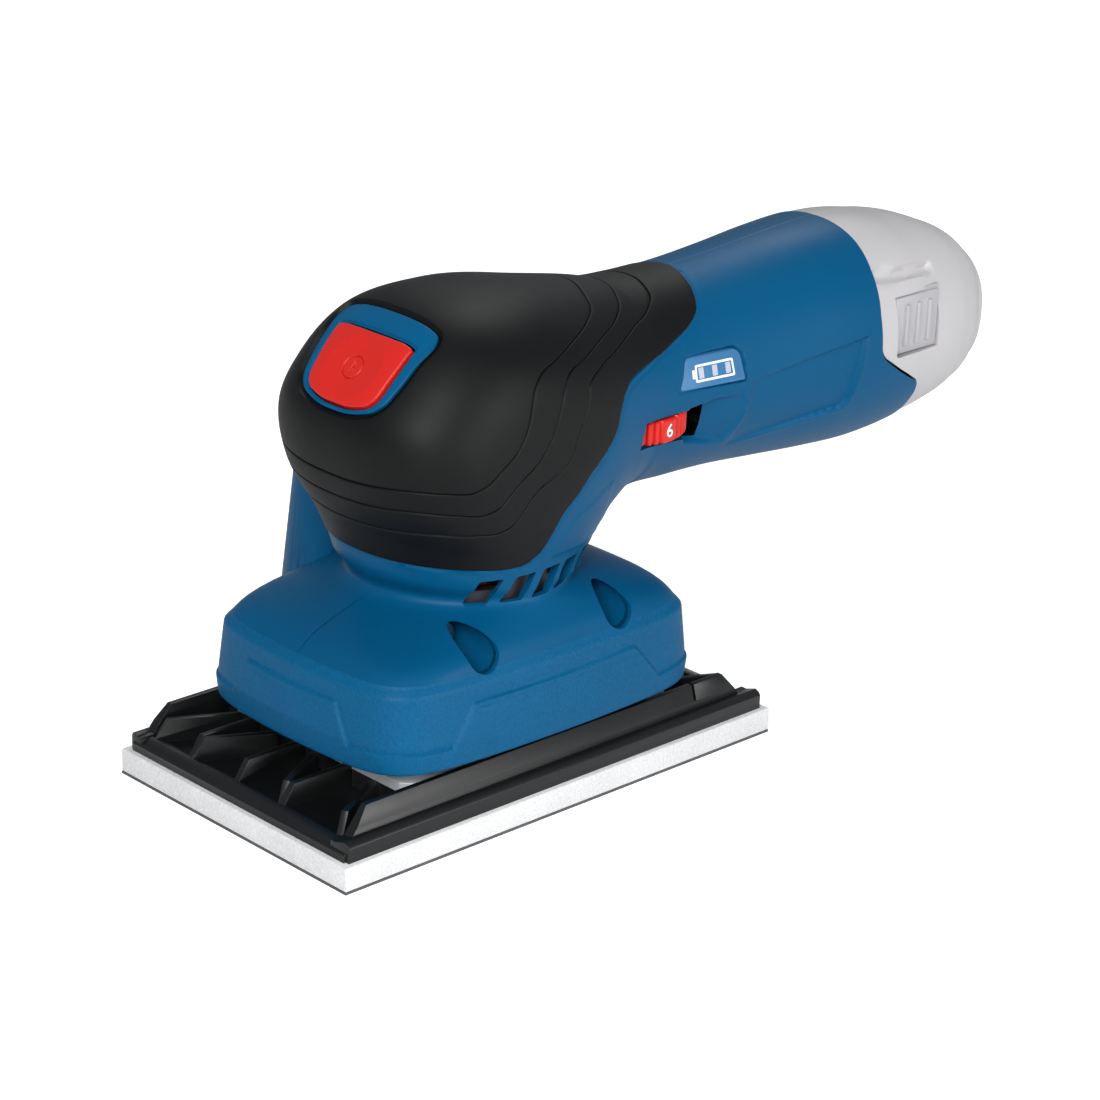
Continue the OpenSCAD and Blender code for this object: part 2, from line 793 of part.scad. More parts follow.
module motor_frame() {
    cup_r = lower_bearing_r + 2.4;
    floor_z = frame_floor_z;
    color("#4a4d50")
        difference() {
            union() {
                translate([0, 0, frame_z]) cylinder(r = cup_r, h = floor_z - frame_z + 1);
                translate([0, 0, floor_z]) cylinder(r = frame_r, h = bracket_z - floor_z);
            }
            translate([0, 0, frame_z - 1]) cylinder(r = lower_bearing_r - 2, h = 40);
            translate([0, 0, lower_bearing_z]) cylinder(r = lower_bearing_r, h = 30);
            translate([0, 0, floor_z + 2.2]) cylinder(r = stator_r, h = far);
            for (a = [30:60:330])
                rotate([0, 0, a])
                    translate([stator_r + 1, 0, floor_z + 5.2])
                        cube([8, 12, 4.4], center = true);
            translate([bracket_slot[0], bracket_slot[1], stator_top + winding_h - 2])
                cube([bracket_slot[2], 20, 20]);
        }
}

module motor_stator() {
    bore = rotor_r + air_gap;
    color("#8a8c8f")
        translate([0, 0, stator_z])
            difference() {
                cylinder(r = stator_r, h = stator_h);
                translate([0, 0, -1]) cylinder(r = bore, h = stator_h + 2);
                for (a = [0:60:300])
                    rotate([0, 0, a])
                        translate([bore + 1.6, -2.4, -1])
                            cube([stator_r - bore - 4.2, 4.8, stator_h + 2]);
                for (a = [0:60:300])
                    rotate([0, 0, a])
                        translate([bore - 1, -0.7, -1])
                            cube([3, 1.4, stator_h + 2]);
            }
}

module stator_windings() {
    r_in = rotor_r + air_gap + 1.4;
    r_out = stator_r - 2.8;
    color("#b8692e") {
        translate([0, 0, stator_z - winding_h]) ring(r_out, r_in, winding_h);
        translate([0, 0, stator_top]) ring(r_out, r_in, winding_h);
    }
}

module bearing(r_out, r_in, w) {
    race = (r_out - r_in) / 3;
    ring(r_out, r_out - race, w);
    ring(r_in + race, r_in, w);
    translate([0, 0, w * 0.1]) ring(r_out - race, r_in + race, w * 0.8);
}

module lower_bearing() {
    color("#b4b7ba")
        translate([0, 0, lower_bearing_z])
            bearing(lower_bearing_r, shaft_r + run_gap, lower_bearing_w);
}

module upper_bearing() {
    color("#b4b7ba")
        translate([0, 0, upper_bearing_z])
            bearing(upper_bearing_r, upper_journal_r + run_gap, upper_bearing_w);
}

bracket_screw_r = 1.25;
bracket_screw_ring = stator_r + frame_wall - 3.6;
bracket_slot = [-18.4, 7.6, 11];
module bearing_bracket() {
    color("#4a4d50")
        difference() {
            union() {
                translate([0, 0, bracket_z]) cylinder(r = frame_r, h = bracket_t);
                translate([0, 0, bracket_z]) cylinder(r = upper_bearing_r + 2, h = bracket_t + upper_bearing_w + 1.4);
            }
            translate([0, 0, bracket_z - 1]) cylinder(r = upper_bearing_r - 2, h = 30);
            translate([0, 0, upper_bearing_z]) cylinder(r = upper_bearing_r, h = 30);
            for (a = [0:90:270])
                rotate([0, 0, a])
                    translate([bracket_screw_ring, 0, bracket_z - 1])
                        cylinder(r = bracket_screw_r + 0.2, h = 10);
            translate([bracket_slot[0], bracket_slot[1], bracket_z - 1]) cube([bracket_slot[2], 20, 20]);
        }
}

module bracket_screws() {
    color("#8d8f92")
        for (a = [0:90:270])
            rotate([0, 0, a])
                translate([bracket_screw_ring, 0, bracket_z]) {
                    translate([0, 0, -1.6]) cylinder(r = bracket_screw_r, h = bracket_t + 1.6);
                    translate([0, 0, bracket_t]) cylinder(r = bracket_screw_r * 2, h = 1.6);
                }
}

// A ring round the fan, open towards the dust outlet
module fan_shroud() {
    inner = fan_r + 0.8;
    top = well_z - well_r - well_wall - 0.2;
    color("#2f3235")
        difference() {
            union() {
                translate([0, 0, flange_z]) cylinder(r = inner + 1.4, h = top - flange_z);
                translate([0, 0, flange_z]) cylinder(r = inner + 2.6, h = 1.5);
            }
            translate([0, 0, flange_z - 1]) cylinder(r = inner, h = 40);
            translate([-40, riser_y - spigot_w / 2 - 2, spigot_z - 2]) cube([30, spigot_w + 4, 40]);
        }
}

// ---------------------------------------------------------------- rotor

module rotor_shaft() {
    color("#c3c6c9") {
        translate([0, 0, flange_top]) cylinder(r = shaft_r, h = upper_bearing_z - 0.6 - flange_top);
        translate([0, 0, upper_bearing_z - 0.6 - eps]) cylinder(r = upper_journal_r, h = upper_bearing_w + 1.2);
    }
}

module rotor_core() {
    color("#6d7073")
        translate([0, 0, stator_z]) ring(rotor_r - 2.6, shaft_r, stator_h);
}

module rotor_magnets() {
    color("#3d4043")
        translate([0, 0, stator_z + 0.5])
            difference() {
                ring(rotor_r, rotor_r - 2.6, stator_h - 1);
                for (a = [0:90:270])
                    rotate([0, 0, a])
                        translate([rotor_r - 4, -0.4, -1])
                            cube([6, 0.8, stator_h + 2]);
            }
}

fan_blades = 11;
module fan() {
    color("#3b4f63")
        translate([0, 0, fan_z])
            difference() {
                union() {
                    cylinder(r = fan_r, h = 1.6);
                    cylinder(r = hub_r + 2, h = fan_h);
                    for (i = [0:fan_blades - 1])
                        rotate([0, 0, i * 360 / fan_blades])
                            translate([hub_r + 1, -0.6, 0.8])
                                cube([fan_r - hub_r - 1.6, 1.2, fan_h - 1.2]);
                }
                translate([0, 0, -1]) cylinder(r = hub_r, h = fan_h + 2);
            }
}

module eccentric() {
    color("#9b9ea1") {
        translate([orbit_r, 0, pin_z]) cylinder(r = ecc_pin_r, h = flange_z - pin_z);
        translate([0, 0, flange_z]) cylinder(r = hub_r + 1, h = flange_top - flange_z);
        translate([0, 0, flange_top])
            difference() {
                cylinder(r = hub_r, h = fan_top - flange_top - 0.4);
                cylinder(r = shaft_r, h = 40);
            }
    }
}

module counterweight() {
    color("#77797c")
        translate([0, 0, weight_z])
            difference() {
                union() {
                    cylinder(r = hub_r + 3, h = weight_t);
                    intersection() {
                        cylinder(r = fan_r - 4, h = weight_t);
                        translate([-fan_r, -fan_r, 0]) cube([fan_r - 1, 2 * fan_r, weight_t]);
                    }
                }
                translate([0, 0, -1]) cylinder(r = hub_r, h = weight_t + 2);
            }
}

// The screw and washer that keep the sole's bearing on its pin
screw_drop = 2.2;
module eccentric_screw() {
    color("#8d8f92")
        translate([orbit_r, 0, pin_z - screw_drop]) {
            cylinder(r = ecc_pin_r + 1.4, h = 1);
            translate([0, 0, 1 - eps]) cylinder(r = ecc_pin_r - 1, h = screw_drop - 1);
            translate([0, 0, -2.4]) cylinder(r = 3.4, h = 2.4 + eps);
        }
}

// ---------------------------------------------------------------- carrier and sole

post_r = 6;
post_places = [[-22, -27], [22, -27], [-22, 34], [22, 34]];
post_h = 17;
post_top = carrier_top + post_h;
post_screw_r = 2;
carrier_y0 = -carrier_l / 2;
carrier_screw_places = [[-25, -14], [25, -14], [-25, 20], [25, 20]];
carrier_screw_r = 1.6;

module plate_bearing() {
    color("#b4b7ba")
        translate([orbit_r, 0, pin_z])
            bearing(plate_bearing_r, ecc_pin_r + run_gap, plate_bearing_w);
}

module carrier_plate() {
    boss_r = plate_bearing_r + 2.2;
    corner = 3.5;
    y1 = carrier_y0 + carrier_l;
    half = carrier_w / 2;
    color("#aeb4b4")
        difference() {
            union() {
                translate([0, 0, carrier_z])
                    linear_extrude(height = carrier_t)
                        polygon([
                            [-half + corner, carrier_y0], [half - corner, carrier_y0], [half, carrier_y0 + corner],
                            [half, y1 - corner], [half - corner, y1], [-half + corner, y1],
                            [-half, y1 - corner], [-half, carrier_y0 + corner],
                        ]);
                translate([orbit_r, 0, carrier_z]) cylinder(r = boss_r, h = pin_top - carrier_z);
            }
            translate([orbit_r, 0, carrier_top + 0.2]) cylinder(r = plate_bearing_r, h = 40);
            translate([orbit_r, 0, carrier_z - 1]) cylinder(r = plate_bearing_r - 3, h = 10);
            at_each([for (p = carrier_screw_places) [p[0], p[1], carrier_z - 1]])
                cylinder(r = carrier_screw_r + 0.1, h = 10);
            at_each([for (p = post_places) [p[0], p[1], carrier_z - 1]])
                cylinder(r = post_screw_r + 0.1, h = 10);
        }
}

module carrier_screws() {
    color("#8d8f92")
        for (p = carrier_screw_places)
            translate([p[0], p[1], carrier_z]) {
                translate([0, 0, -3]) cylinder(r = carrier_screw_r, h = carrier_t + 3);
                translate([0, 0, carrier_t]) cylinder(r = 3, h = 1.8);
            }
}

module elastic_posts() {
    color("#1c1d1f")
        for (p = post_places)
            translate([p[0], p[1], carrier_top])
                rotate_extrude()
                    polygon([
                        [0, 0], [post_r, 0], [post_r, 2.4], [post_r - 1.6, 4], [post_r - 1.6, post_h - 4],
                        [post_r, post_h - 2.4], [post_r, post_h], [0, post_h],
                    ]);
}

module post_screws() {
    color("#8d8f92")
        for (p = post_places)
            translate([p[0], p[1], carrier_z]) {
                translate([0, 0, -1.8]) cylinder(r = 3.4, h = 1.8);
                cylinder(r = post_screw_r, h = carrier_t);
            }
}

// Each rib starts on the end lip: its place across the plate and how far it leans towards +X
end_ribs = [[-34.6, 28], [-20.8, 0], [-20.8, 28], [-4.3, 0], [11.8, -28], [11.8, 0], [31.8, -28]];
lip_w = 3.4;
lip_h = 1;
side_walls = [-35.2, 32.4];
side_wall_t = 1.4;
side_wall_slope = 1.2;
block_top = 4.6;

module end_rib(lean) {
    h = plate_h - plate_floor - 2;
    run = (plate_l - carrier_l) / 2 - lip_w;
    rotate([0, 0, -lean])
        translate([-rib_t / 2, 0, 0])
            side_prism(0, rib_t)
                polygon([[0, -1], [0, 0], [0.6, lip_h], [3.6, h], [run, h], [run, -1]]);
}

// One long side: a low block along the edge, a groove and a wall with a sloping outer face
module side_rail(side, wall_x) {
    out = side * plate_w / 2;
    edge = plate_l / 2;
    inner = wall_x;
    top = wall_x + side * side_wall_t;
    foot = top + side * side_wall_slope;
    translate([0, edge - 0.6, pad_top])
        rotate([90, 0, 0])
            linear_extrude(height = plate_l - 1.2)
                polygon([
                    [inner, 0], [inner, block_top - 1], [foot - side, block_top - 1], [out - side * 1.6, block_top],
                    [out - side * 0.5, block_top - 0.5], [out, block_top - 1.2], [out, 0],
                ]);
    intersection() {
        translate([0, edge, pad_top])
            rotate([90, 0, 0])
                linear_extrude(height = plate_l)
                    polygon([[inner, 0], [inner, plate_h], [top, plate_h], [foot, block_top + 1.2], [foot, 0]]);
        side_prism()
            polygon([
                [lip_w - edge, pad_top], [lip_w - edge + 0.6, pad_top + plate_floor + lip_h],
                [lip_w - edge + 6, plate_top], [edge - lip_w - 6, plate_top],
                [edge - lip_w - 0.6, pad_top + plate_floor + lip_h], [edge - lip_w, pad_top],
            ]);
    }
}

module sanding_plate() {
    floor_top = pad_top + plate_floor;
    edge = plate_l / 2;
    color("#1d1e20")
        difference() {
            union() {
                translate([1 - plate_w / 2, 1 - edge, pad_top]) cube([plate_w - 2, plate_l - 2, plate_floor]);
                for (end = [0, 1])
                    mirror([0, end, 0]) {
                        side_prism(1 - plate_w / 2, plate_w / 2 - 1)
                            polygon([
                                [-edge, pad_top], [-edge, floor_top - 0.4], [0.6 - edge, floor_top],
                                [lip_w - edge, floor_top + lip_h], [lip_w - edge + 1, floor_top + lip_h],
                                [lip_w - edge + 1.4, pad_top],
                            ]);
                        for (r = end_ribs)
                            translate([r[0], lip_w - edge, floor_top]) end_rib(r[1]);
                    }
                side_rail(-1, side_walls[0]);
                side_rail(1, side_walls[1]);
                translate([-carrier_w / 2, carrier_y0, floor_top - 1])
                    cube([carrier_w, carrier_l, carrier_z - floor_top + 1]);
            }
            translate([orbit_r, 0, pad_top + 1.2]) cylinder(r = plate_bearing_r, h = 40);
            at_each([for (p = post_places) [p[0], p[1], floor_top]]) cylinder(r = 4.2, h = 40);
            at_each([for (p = carrier_screw_places) [p[0], p[1], floor_top]])
                cylinder(r = carrier_screw_r, h = 40);
            translate([-carrier_w / 2 - slide_gap, carrier_y0 - slide_gap, carrier_z])
                cube([carrier_w + 2 * slide_gap, carrier_l + 2 * slide_gap, 40]);
            translate([0, 45.3, pad_top + block_top + 1.4]) cube([far, 0.8, plate_h]);
        }
}

module foam_pad() {
    color("#d8d8d6")
        translate([-pad_w / 2, -pad_l / 2, hook_t]) cube([pad_w, pad_l, pad_t]);
}

module hook_layer() {
    color("#4a4a4c")
        translate([-pad_w / 2, -pad_l / 2, 0]) cube([pad_w, pad_l, hook_t]);
}

// ---------------------------------------------------------------- battery

pack_r = cell_r * (1 + 2 / sqrt(3)) + 0.15;
stem_r = pack_r + stem_wall;
cells_y = stem_y + stem_nose + 1;
pack_z = handle_z;
key_y0 = handle_end_y + 5;
key_y1 = handle_end_y + 21;
key_z0 = handle_z - 2.5;
key_z1 = handle_z + 12;
key_floor = 1;
key_base_t = 0.9;
key_x = pack_r + key_floor + key_travel + 0.6;

module along_y(y0, y1, r, x = 0, z = 0) {
    translate([x, y0, z])
        rotate([-90, 0, 0])
            cylinder(r = r, h = y1 - y0);
}

module battery_stem() {
    color("#55585c")
        difference() {
            along_y(stem_y, handle_end_y + 2, stem_r, 0, pack_z);
            along_y(stem_y + stem_nose, handle_end_y + 3, pack_r, 0, pack_z);
            for (x = [-8, 0, 8])
                translate([x - 0.9, stem_y - 1, pack_z - 4.2]) cube([1.8, stem_nose + 2, 8.4]);
        }
}

// Room for a key: wide behind, for its base and its travel, and narrower at the mouth
module key_pocket() {
    translate([pack_r + key_floor, key_y0 - 1 - slide_gap, key_z0 - 1 - slide_gap])
        cube([
            key_travel + 0.6 + key_base_t + 0.05, key_y1 - key_y0 + 2 + 2 * slide_gap,
            key_z1 - key_z0 + 2 + 2 * slide_gap,
        ]);
    translate([key_x, key_y0 - slide_gap, key_z0 - slide_gap])
        cube([40, key_y1 - key_y0 + 2 * slide_gap, key_z1 - key_z0 + 2 * slide_gap]);
}

module battery_cap() {
    color("#d5d6d8")
        difference() {
            intersection() {
                loft(battery_at(0));
                side_prism() battery_outline(slide_gap);
            }
            along_y(handle_end_y - 20, handle_end_y + 2, stem_r, 0, pack_z);
            along_y(handle_end_y, cells_y + cell_l + 0.3, pack_r, 0, pack_z);
            for (side = [0, 1]) mirror([side, 0, 0]) key_pocket();
        }
}

module battery_cells() {
    spread = 2 * cell_r / sqrt(3);
    color("#4d8f78")
        for (a = [90, 210, 330])
            along_y(cells_y, cells_y + cell_l, cell_r - 0.05, spread * cos(a), pack_z + spread * sin(a));
}

module battery_contacts() {
    color("#c9a24a")
        for (x = [-8, 0, 8])
            for (side = [-1, 1])
                translate([x + side * 0.7 - 0.15, stem_y + stem_nose, pack_z - 3]) cube([0.3, 0.9, 6]);
}

// The right key, with a wide base behind its face and three grip ribs in front
key_t = 2;
module key_shape() {
    difference() {
        union() {
            translate([key_x, key_y0, key_z0]) cube([key_t, key_y1 - key_y0, key_z1 - key_z0]);
            translate([key_x, key_y0 - 1, key_z0 - 1])
                cube([key_base_t, key_y1 - key_y0 + 2, key_z1 - key_z0 + 2]);
        }
        translate([key_x - 1, (key_y0 + key_y1) / 2, (key_z0 + key_z1) / 2])
            rotate([0, 90, 0])
                cylinder(r = 2.2, h = 1.6);
    }
    for (i = [0:2])
        translate([key_x + key_t - eps, key_y0 + 3.1 + 4.2 * i, key_z0 + 2]) cube([0.9, 1.4, key_z1 - key_z0 - 4]);
}

module battery_key_right() {
    color("#bfc0c3") key_shape();
}

module battery_key_left() {
    color("#bfc0c3") mirror([1, 0, 0]) key_shape();
}

module key_spring() {
    x0 = pack_r + key_floor;
    translate([x0, (key_y0 + key_y1) / 2, (key_z0 + key_z1) / 2])
        rotate([0, 90, 0])
            ring(1.8, 1.2, key_x + 0.6 - x0);
}

module key_spring_right() {
    color("#b9bbbd") key_spring();
}

module key_spring_left() {
    color("#b9bbbd") mirror([1, 0, 0]) key_spring();
}

housing_right();
housing_left();
soft_grip();
housing_screws();
dust_outlet();
switch_bezel();
switch_button();
button_spring();
switch_unit();
speed_dial();
dial_potentiometer();
charge_display();
charge_lights();
control_board();
board_capacitors();
terminal_block();
contact_blades();
motor_leads();
motor_frame();
motor_stator();
stator_windings();
lower_bearing();
upper_bearing();
bearing_bracket();
bracket_screws();
fan_shroud();
rotor_shaft();
rotor_core();
rotor_magnets();
fan();
counterweight();
eccentric();
eccentric_screw();
plate_bearing();
elastic_posts();
post_screws();
carrier_plate();
carrier_screws();
sanding_plate();
foam_pad();
hook_layer();
battery_stem();
battery_cap();
battery_cells();
battery_contacts();
battery_key_right();
battery_key_left();
key_spring_right();
key_spring_left();
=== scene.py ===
"""Looks of a cordless palm sander: blue shells, soft grip, ribbed plate, foam sole and battery."""

import json
import math

import bpy
import numpy as np
from mathutils import Matrix, Vector

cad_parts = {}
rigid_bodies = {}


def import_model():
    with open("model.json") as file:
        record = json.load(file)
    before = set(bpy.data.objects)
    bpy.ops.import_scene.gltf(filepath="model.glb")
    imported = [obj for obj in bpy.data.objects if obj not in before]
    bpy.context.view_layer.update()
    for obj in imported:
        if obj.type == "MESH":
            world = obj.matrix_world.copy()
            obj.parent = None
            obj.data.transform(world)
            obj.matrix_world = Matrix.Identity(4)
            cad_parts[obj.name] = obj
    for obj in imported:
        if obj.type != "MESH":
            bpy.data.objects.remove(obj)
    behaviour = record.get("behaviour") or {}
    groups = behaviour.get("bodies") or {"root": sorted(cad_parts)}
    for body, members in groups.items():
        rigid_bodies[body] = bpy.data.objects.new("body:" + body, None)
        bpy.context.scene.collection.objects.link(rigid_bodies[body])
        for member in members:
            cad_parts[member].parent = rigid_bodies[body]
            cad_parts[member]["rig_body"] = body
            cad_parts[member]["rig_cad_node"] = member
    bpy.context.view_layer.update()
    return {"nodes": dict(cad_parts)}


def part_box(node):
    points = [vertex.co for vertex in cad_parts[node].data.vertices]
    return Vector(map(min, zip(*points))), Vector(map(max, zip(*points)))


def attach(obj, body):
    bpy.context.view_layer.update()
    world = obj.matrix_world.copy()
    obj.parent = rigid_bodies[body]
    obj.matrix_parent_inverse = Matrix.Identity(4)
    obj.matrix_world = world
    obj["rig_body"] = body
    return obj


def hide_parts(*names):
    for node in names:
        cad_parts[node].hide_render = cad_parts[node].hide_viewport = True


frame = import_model()
MM = 0.001

# ------------------------------------------------------------------ body surface
# Millimetres here. A place on the body is a station u along it and an angle round it:
# u below 0 climbs the skirt, 0 to 90 fans round the throat, and above 90 runs along the handle.
# An angle of 0 is the front and top, and half a turn is the rear and underside.

PIVOT_Y, PIVOT_Z, HANDLE_Z = 42.0, 47.0, 82.9
SKIRT_Y = 0.8
HANDLE_FROM = 90
# height, half width, front and rear half lengths, squareness
SKIRT = [
    (18.5, 36.5, 50.5, 48.9, 8.0), (24.5, 36.9, 51.2, 49.6, 8.0), (36.2, 35.6, 49.7, 48.1, 9.0),
    (38.3, 34.2, 48.2, 46.6, 8.0), (42.0, 32.4, 43.0, 42.5, 3.8), (44.6, 30.0, 36.0, 36.5, 2.7),
    (45.9, 28.8, 32.0, 32.5, 2.3),
]
# tilt, outer and inner distance from the pivot, half width, squareness, pinch of the inner side
HEAD = [
    (0, 70.2, 12.5, 28.0, 2.0, 0), (6, 71.4, 12.5, 28.1, 2.05, 0.04), (13, 76, 12.3, 29.7, 2.2, 0.1),
    (21, 85.8, 12, 33.3, 2.5, 0.2), (29, 91.9, 12, 35.5, 2.7, 0.26), (37, 91.9, 11.6, 36, 2.7, 0.26),
    (46, 89.7, 11.2, 35.3, 2.55, 0.24), (58, 80.1, 11, 32.8, 2.35, 0.18), (72, 68.8, 11, 28.6, 2.2, 0.1),
    (90, 61.3, 11, 24.8, 2.1, 0),
]
# distance behind the pivot, depth below and above the handle's line, half width, squareness
HANDLE = [
    (13, 25.3, 24.8, 24.0, 2.1), (28, 25.7, 25.1, 24.2, 2.1), (46, 27.1, 26.5, 25.2, 2.1),
    (63, 28.2, 28.0, 26.6, 2.15), (76, 28.6, 28.6, 27.0, 2.2), (88, 27.4, 27.8, 26.6, 2.3),
    (94, 26.6, 26.8, 26.0, 2.3), (100, 25.8, 25.8, 25.4, 2.3), (110, 23.2, 22.8, 23.4, 2.4),
    (118, 20.0, 18.6, 20.0, 2.4), (122.5, 15.6, 12.8, 15.5, 2.3), (124, 9.4, 7.0, 9.0, 2.1),
]


def through(keys, values, at):
    """A smooth curve through unevenly spaced keys."""
    keys, values = np.asarray(keys, float), np.asarray(values, float)
    gaps = np.diff(keys)
    slopes = np.diff(values) / gaps
    lean = np.empty_like(values)
    lean[1:-1] = (slopes[:-1] * gaps[1:] + slopes[1:] * gaps[:-1]) / (gaps[1:] + gaps[:-1])
    lean[0], lean[-1] = slopes[0], slopes[-1]
    i = np.clip(np.searchsorted(keys, at, side="right") - 1, 0, len(keys) - 2)
    t = (at - keys[i]) / gaps[i]
    a = (2 * t**3 - 3 * t**2 + 1) * values[i] + (3 * t**2 - 2 * t**3) * values[i + 1]
    return a + gaps[i] * ((t**3 - 2 * t**2 + t) * lean[i] + (t**3 - t**2) * lean[i + 1])


def station_table():
    rows = [(z - PIVOT_Z, a, front, rear, n, 0) for z, a, front, rear, n in SKIRT]
    rows += [(t, a, (out - inn) / 2, (out - inn) / 2, n, e) for t, out, inn, a, n, e in HEAD]
    rows += [(HANDLE_FROM + d, a, up, low, n, 0) for d, low, up, a, n in HANDLE]
    return np.array(rows, float)


STATIONS = station_table()
MIDDLES = np.array([(t, (out + inn) / 2) for t, out, inn, a, n, e in HEAD], float)


# the last straight row of the skirt, the station its rounded edges start at, and how they are averaged
CHAMFER_TOP = 3
ROUND_BELOW = -3
EDGE_ROUND = np.linspace(-0.25, 0.25, 7)
# how far the skirt's sides draw in towards its corners, below this station
SKIRT_BOW = 0.06
BOW_BELOW = -5
# the depth over which the neck's middle moves over to the skirt's
NECK_BLEND = 5


def measure(u, k):
    """One measure of the section. The skirt's walls and chamfer are straight, with rounded edges."""
    upper, lower = STATIONS[CHAMFER_TOP:], STATIONS[: CHAMFER_TOP + 1]
    total = 0
    for shift in EDGE_ROUND:
        v = np.where(u < ROUND_BELOW, u + shift * np.clip((ROUND_BELOW - u) / 2, 0, 1), u)
        straight = np.interp(v, lower[:, 0], lower[:, k])
        total = total + np.where(v < upper[0, 0], straight, through(upper[:, 0], upper[:, k], v))
    return total / len(EDGE_ROUND)


def section(u):
    """The middle, tilt, half width, outer and inner depths, squareness and pinch at each station."""
    u = np.asarray(u, float)
    width, outer, inner, square, pinch = [measure(u, k) for k in range(1, 6)]
    fan = np.clip(u, 0, HANDLE_FROM)
    tilt = np.radians(fan)
    reach = through(MIDDLES[:, 0], MIDDLES[:, 1], fan)
    below = SKIRT_Y + (PIVOT_Y - reach - SKIRT_Y) * np.clip(1 + u / NECK_BLEND, 0, 1)
    y = np.where(u > 0, PIVOT_Y - np.cos(tilt) * reach, below)
    z = np.where(u > 0, PIVOT_Z + np.sin(tilt) * reach, PIVOT_Z + u)
    settled = np.clip(1 - (u - HANDLE_FROM) / HANDLE[0][0], 0, 1)
    y = np.where(u > HANDLE_FROM, PIVOT_Y + u - HANDLE_FROM, y)
    z = np.where(u > HANDLE_FROM, HANDLE_Z + (PIVOT_Z + reach - HANDLE_Z) * settled, z)
    return y, z, tilt, width, outer, inner, square, np.clip(pinch, 0, 1)


def body_point(u, angle, inset=0.0):
    """The point on the body, set in by inset."""
    y, z, tilt, width, outer, inner, square, pinch = section(u)
    c, s = np.cos(angle), np.sin(angle)
    across, along = np.abs(s) ** (2 / square), np.abs(c) ** (2 / square)
    bow = SKIRT_BOW * np.clip((BOW_BELOW - np.asarray(u, float)) / 4, 0, 1)
    x = (width - inset) * np.sign(s) * across * (1 - pinch * (1 - c) / 2) * (1 - bow * along**2)
    depth = np.where(c >= 0, outer - inset, inner - inset)
    w = depth * np.sign(c) * along * (1 - bow * across**2)
    return np.stack([x, y - np.cos(tilt) * w, z + np.sin(tilt) * w], -1)


def quarters(t):
    """The angle t quarter turns round, drawn towards the quarters' ends, where the section is flattest."""
    whole = np.floor(np.minimum(t, 1.999999))
    part = t - whole
    return (whole + part**3 * (10 - 15 * part + 6 * part**2)) * math.pi / 2


def even_angles(u, shares):
    """Angles that cut half of each section into the given shares of its length, from the outer side."""
    t = np.linspace(0, 2, 321)
    fine = quarters(t)
    u = np.broadcast_to(np.asarray(u, float), np.shape(u))
    angles = np.empty((len(u), len(shares)))
    for i, ring in enumerate(body_point(u[:, None], fine[None, :])):
        run = np.concatenate([[0], np.cumsum(np.linalg.norm(np.diff(ring, axis=0), axis=1))])
        angles[i] = quarters(np.interp(np.asarray(shares) * run[-1], run, t))
    return angles


def spaced(*stops):
    """Numbers from stop to stop: (start, step), (next, step), ..., (end,)."""
    out = []
    for (a, step), b in zip(stops[:-1], stops[1:]):
        n = max(1, int(round((b[0] - a) / step)))
        out += [a + (b[0] - a) * k / n for k in range(n)]
    return np.array(out + [stops[-1][0]])


# ------------------------------------------------------------------ side view shapes


def outline_distance(y, z, corners):
    """Signed distance in the side view to a closed outline, negative inside."""
    best = np.full(np.shape(y), 1e9)
    inside = np.zeros(np.shape(y), bool)
    for (y0, z0), (y1, z1) in zip(corners, corners[1:] + corners[:1]):
        dy, dz = y1 - y0, z1 - z0
        t = np.clip(((y - y0) * dy + (z - z0) * dz) / (dy * dy + dz * dz), 0, 1)
        best = np.minimum(best, np.hypot(y - y0 - t * dy, z - z0 - t * dz))
        if z0 != z1:
            inside ^= ((z0 > z) != (z1 > z)) & (y < (z - z0) * dy / dz + y0)
    return np.where(inside, -best, best)


def line_distance(y, z, points):
    """Distance in the side view to an open line."""
    best = np.full(np.shape(y), 1e9)
    for (y0, z0), (y1, z1) in zip(points[:-1], points[1:]):
        dy, dz = y1 - y0, z1 - z0
        t = np.clip(((y - y0) * dy + (z - z0) * dz) / (dy * dy + dz * dz), 0, 1)
        best = np.minimum(best, np.hypot(y - y0 - t * dy, z - z0 - t * dz))
    return best


def rise(value, low, high):
    """0 below low, 1 above high and smooth between."""
    t = np.clip((value - low) / (high - low), 0, 1)
    return t * t * (3 - 2 * t)


def groove(distance, width):
    """1 on a line and 0 from half a width away."""
    return 1 - rise(np.abs(distance), 0, width / 2)


# ------------------------------------------------------------------ modelling helpers


def in_edit(obj):
    bpy.ops.object.select_all(action="DESELECT")
    bpy.context.view_layer.objects.active = obj
    obj.select_set(True)
    bpy.ops.object.mode_set(mode="EDIT")


def out_of_edit():
    bpy.ops.object.mode_set(mode="OBJECT")


def only(obj):
    bpy.ops.object.select_all(action="DESELECT")
    bpy.context.view_layer.objects.active = obj
    obj.select_set(True)


def named(name):
    obj = bpy.context.active_object
    obj.name = name
    obj.data.name = name
    return obj


def settle(obj):
    """Puts the piece's place into its mesh."""
    only(obj)
    bpy.ops.object.transform_apply(location=True, rotation=True, scale=True)
    return obj


def merge_points(obj, distance=1e-6):
    in_edit(obj)
    bpy.ops.mesh.select_all(action="SELECT")
    bpy.ops.mesh.remove_doubles(threshold=distance)
    out_of_edit()


def fill_ends(obj):
    in_edit(obj)
    bpy.ops.mesh.select_all(action="DESELECT")
    bpy.ops.mesh.select_non_manifold()
    bpy.ops.mesh.fill_holes(sides=0)
    out_of_edit()


def bevel_edges(obj, width, segments):
    in_edit(obj)
    bpy.ops.mesh.select_all(action="SELECT")
    bpy.ops.mesh.bevel(offset=width * MM, segments=segments, affect="EDGES")
    out_of_edit()


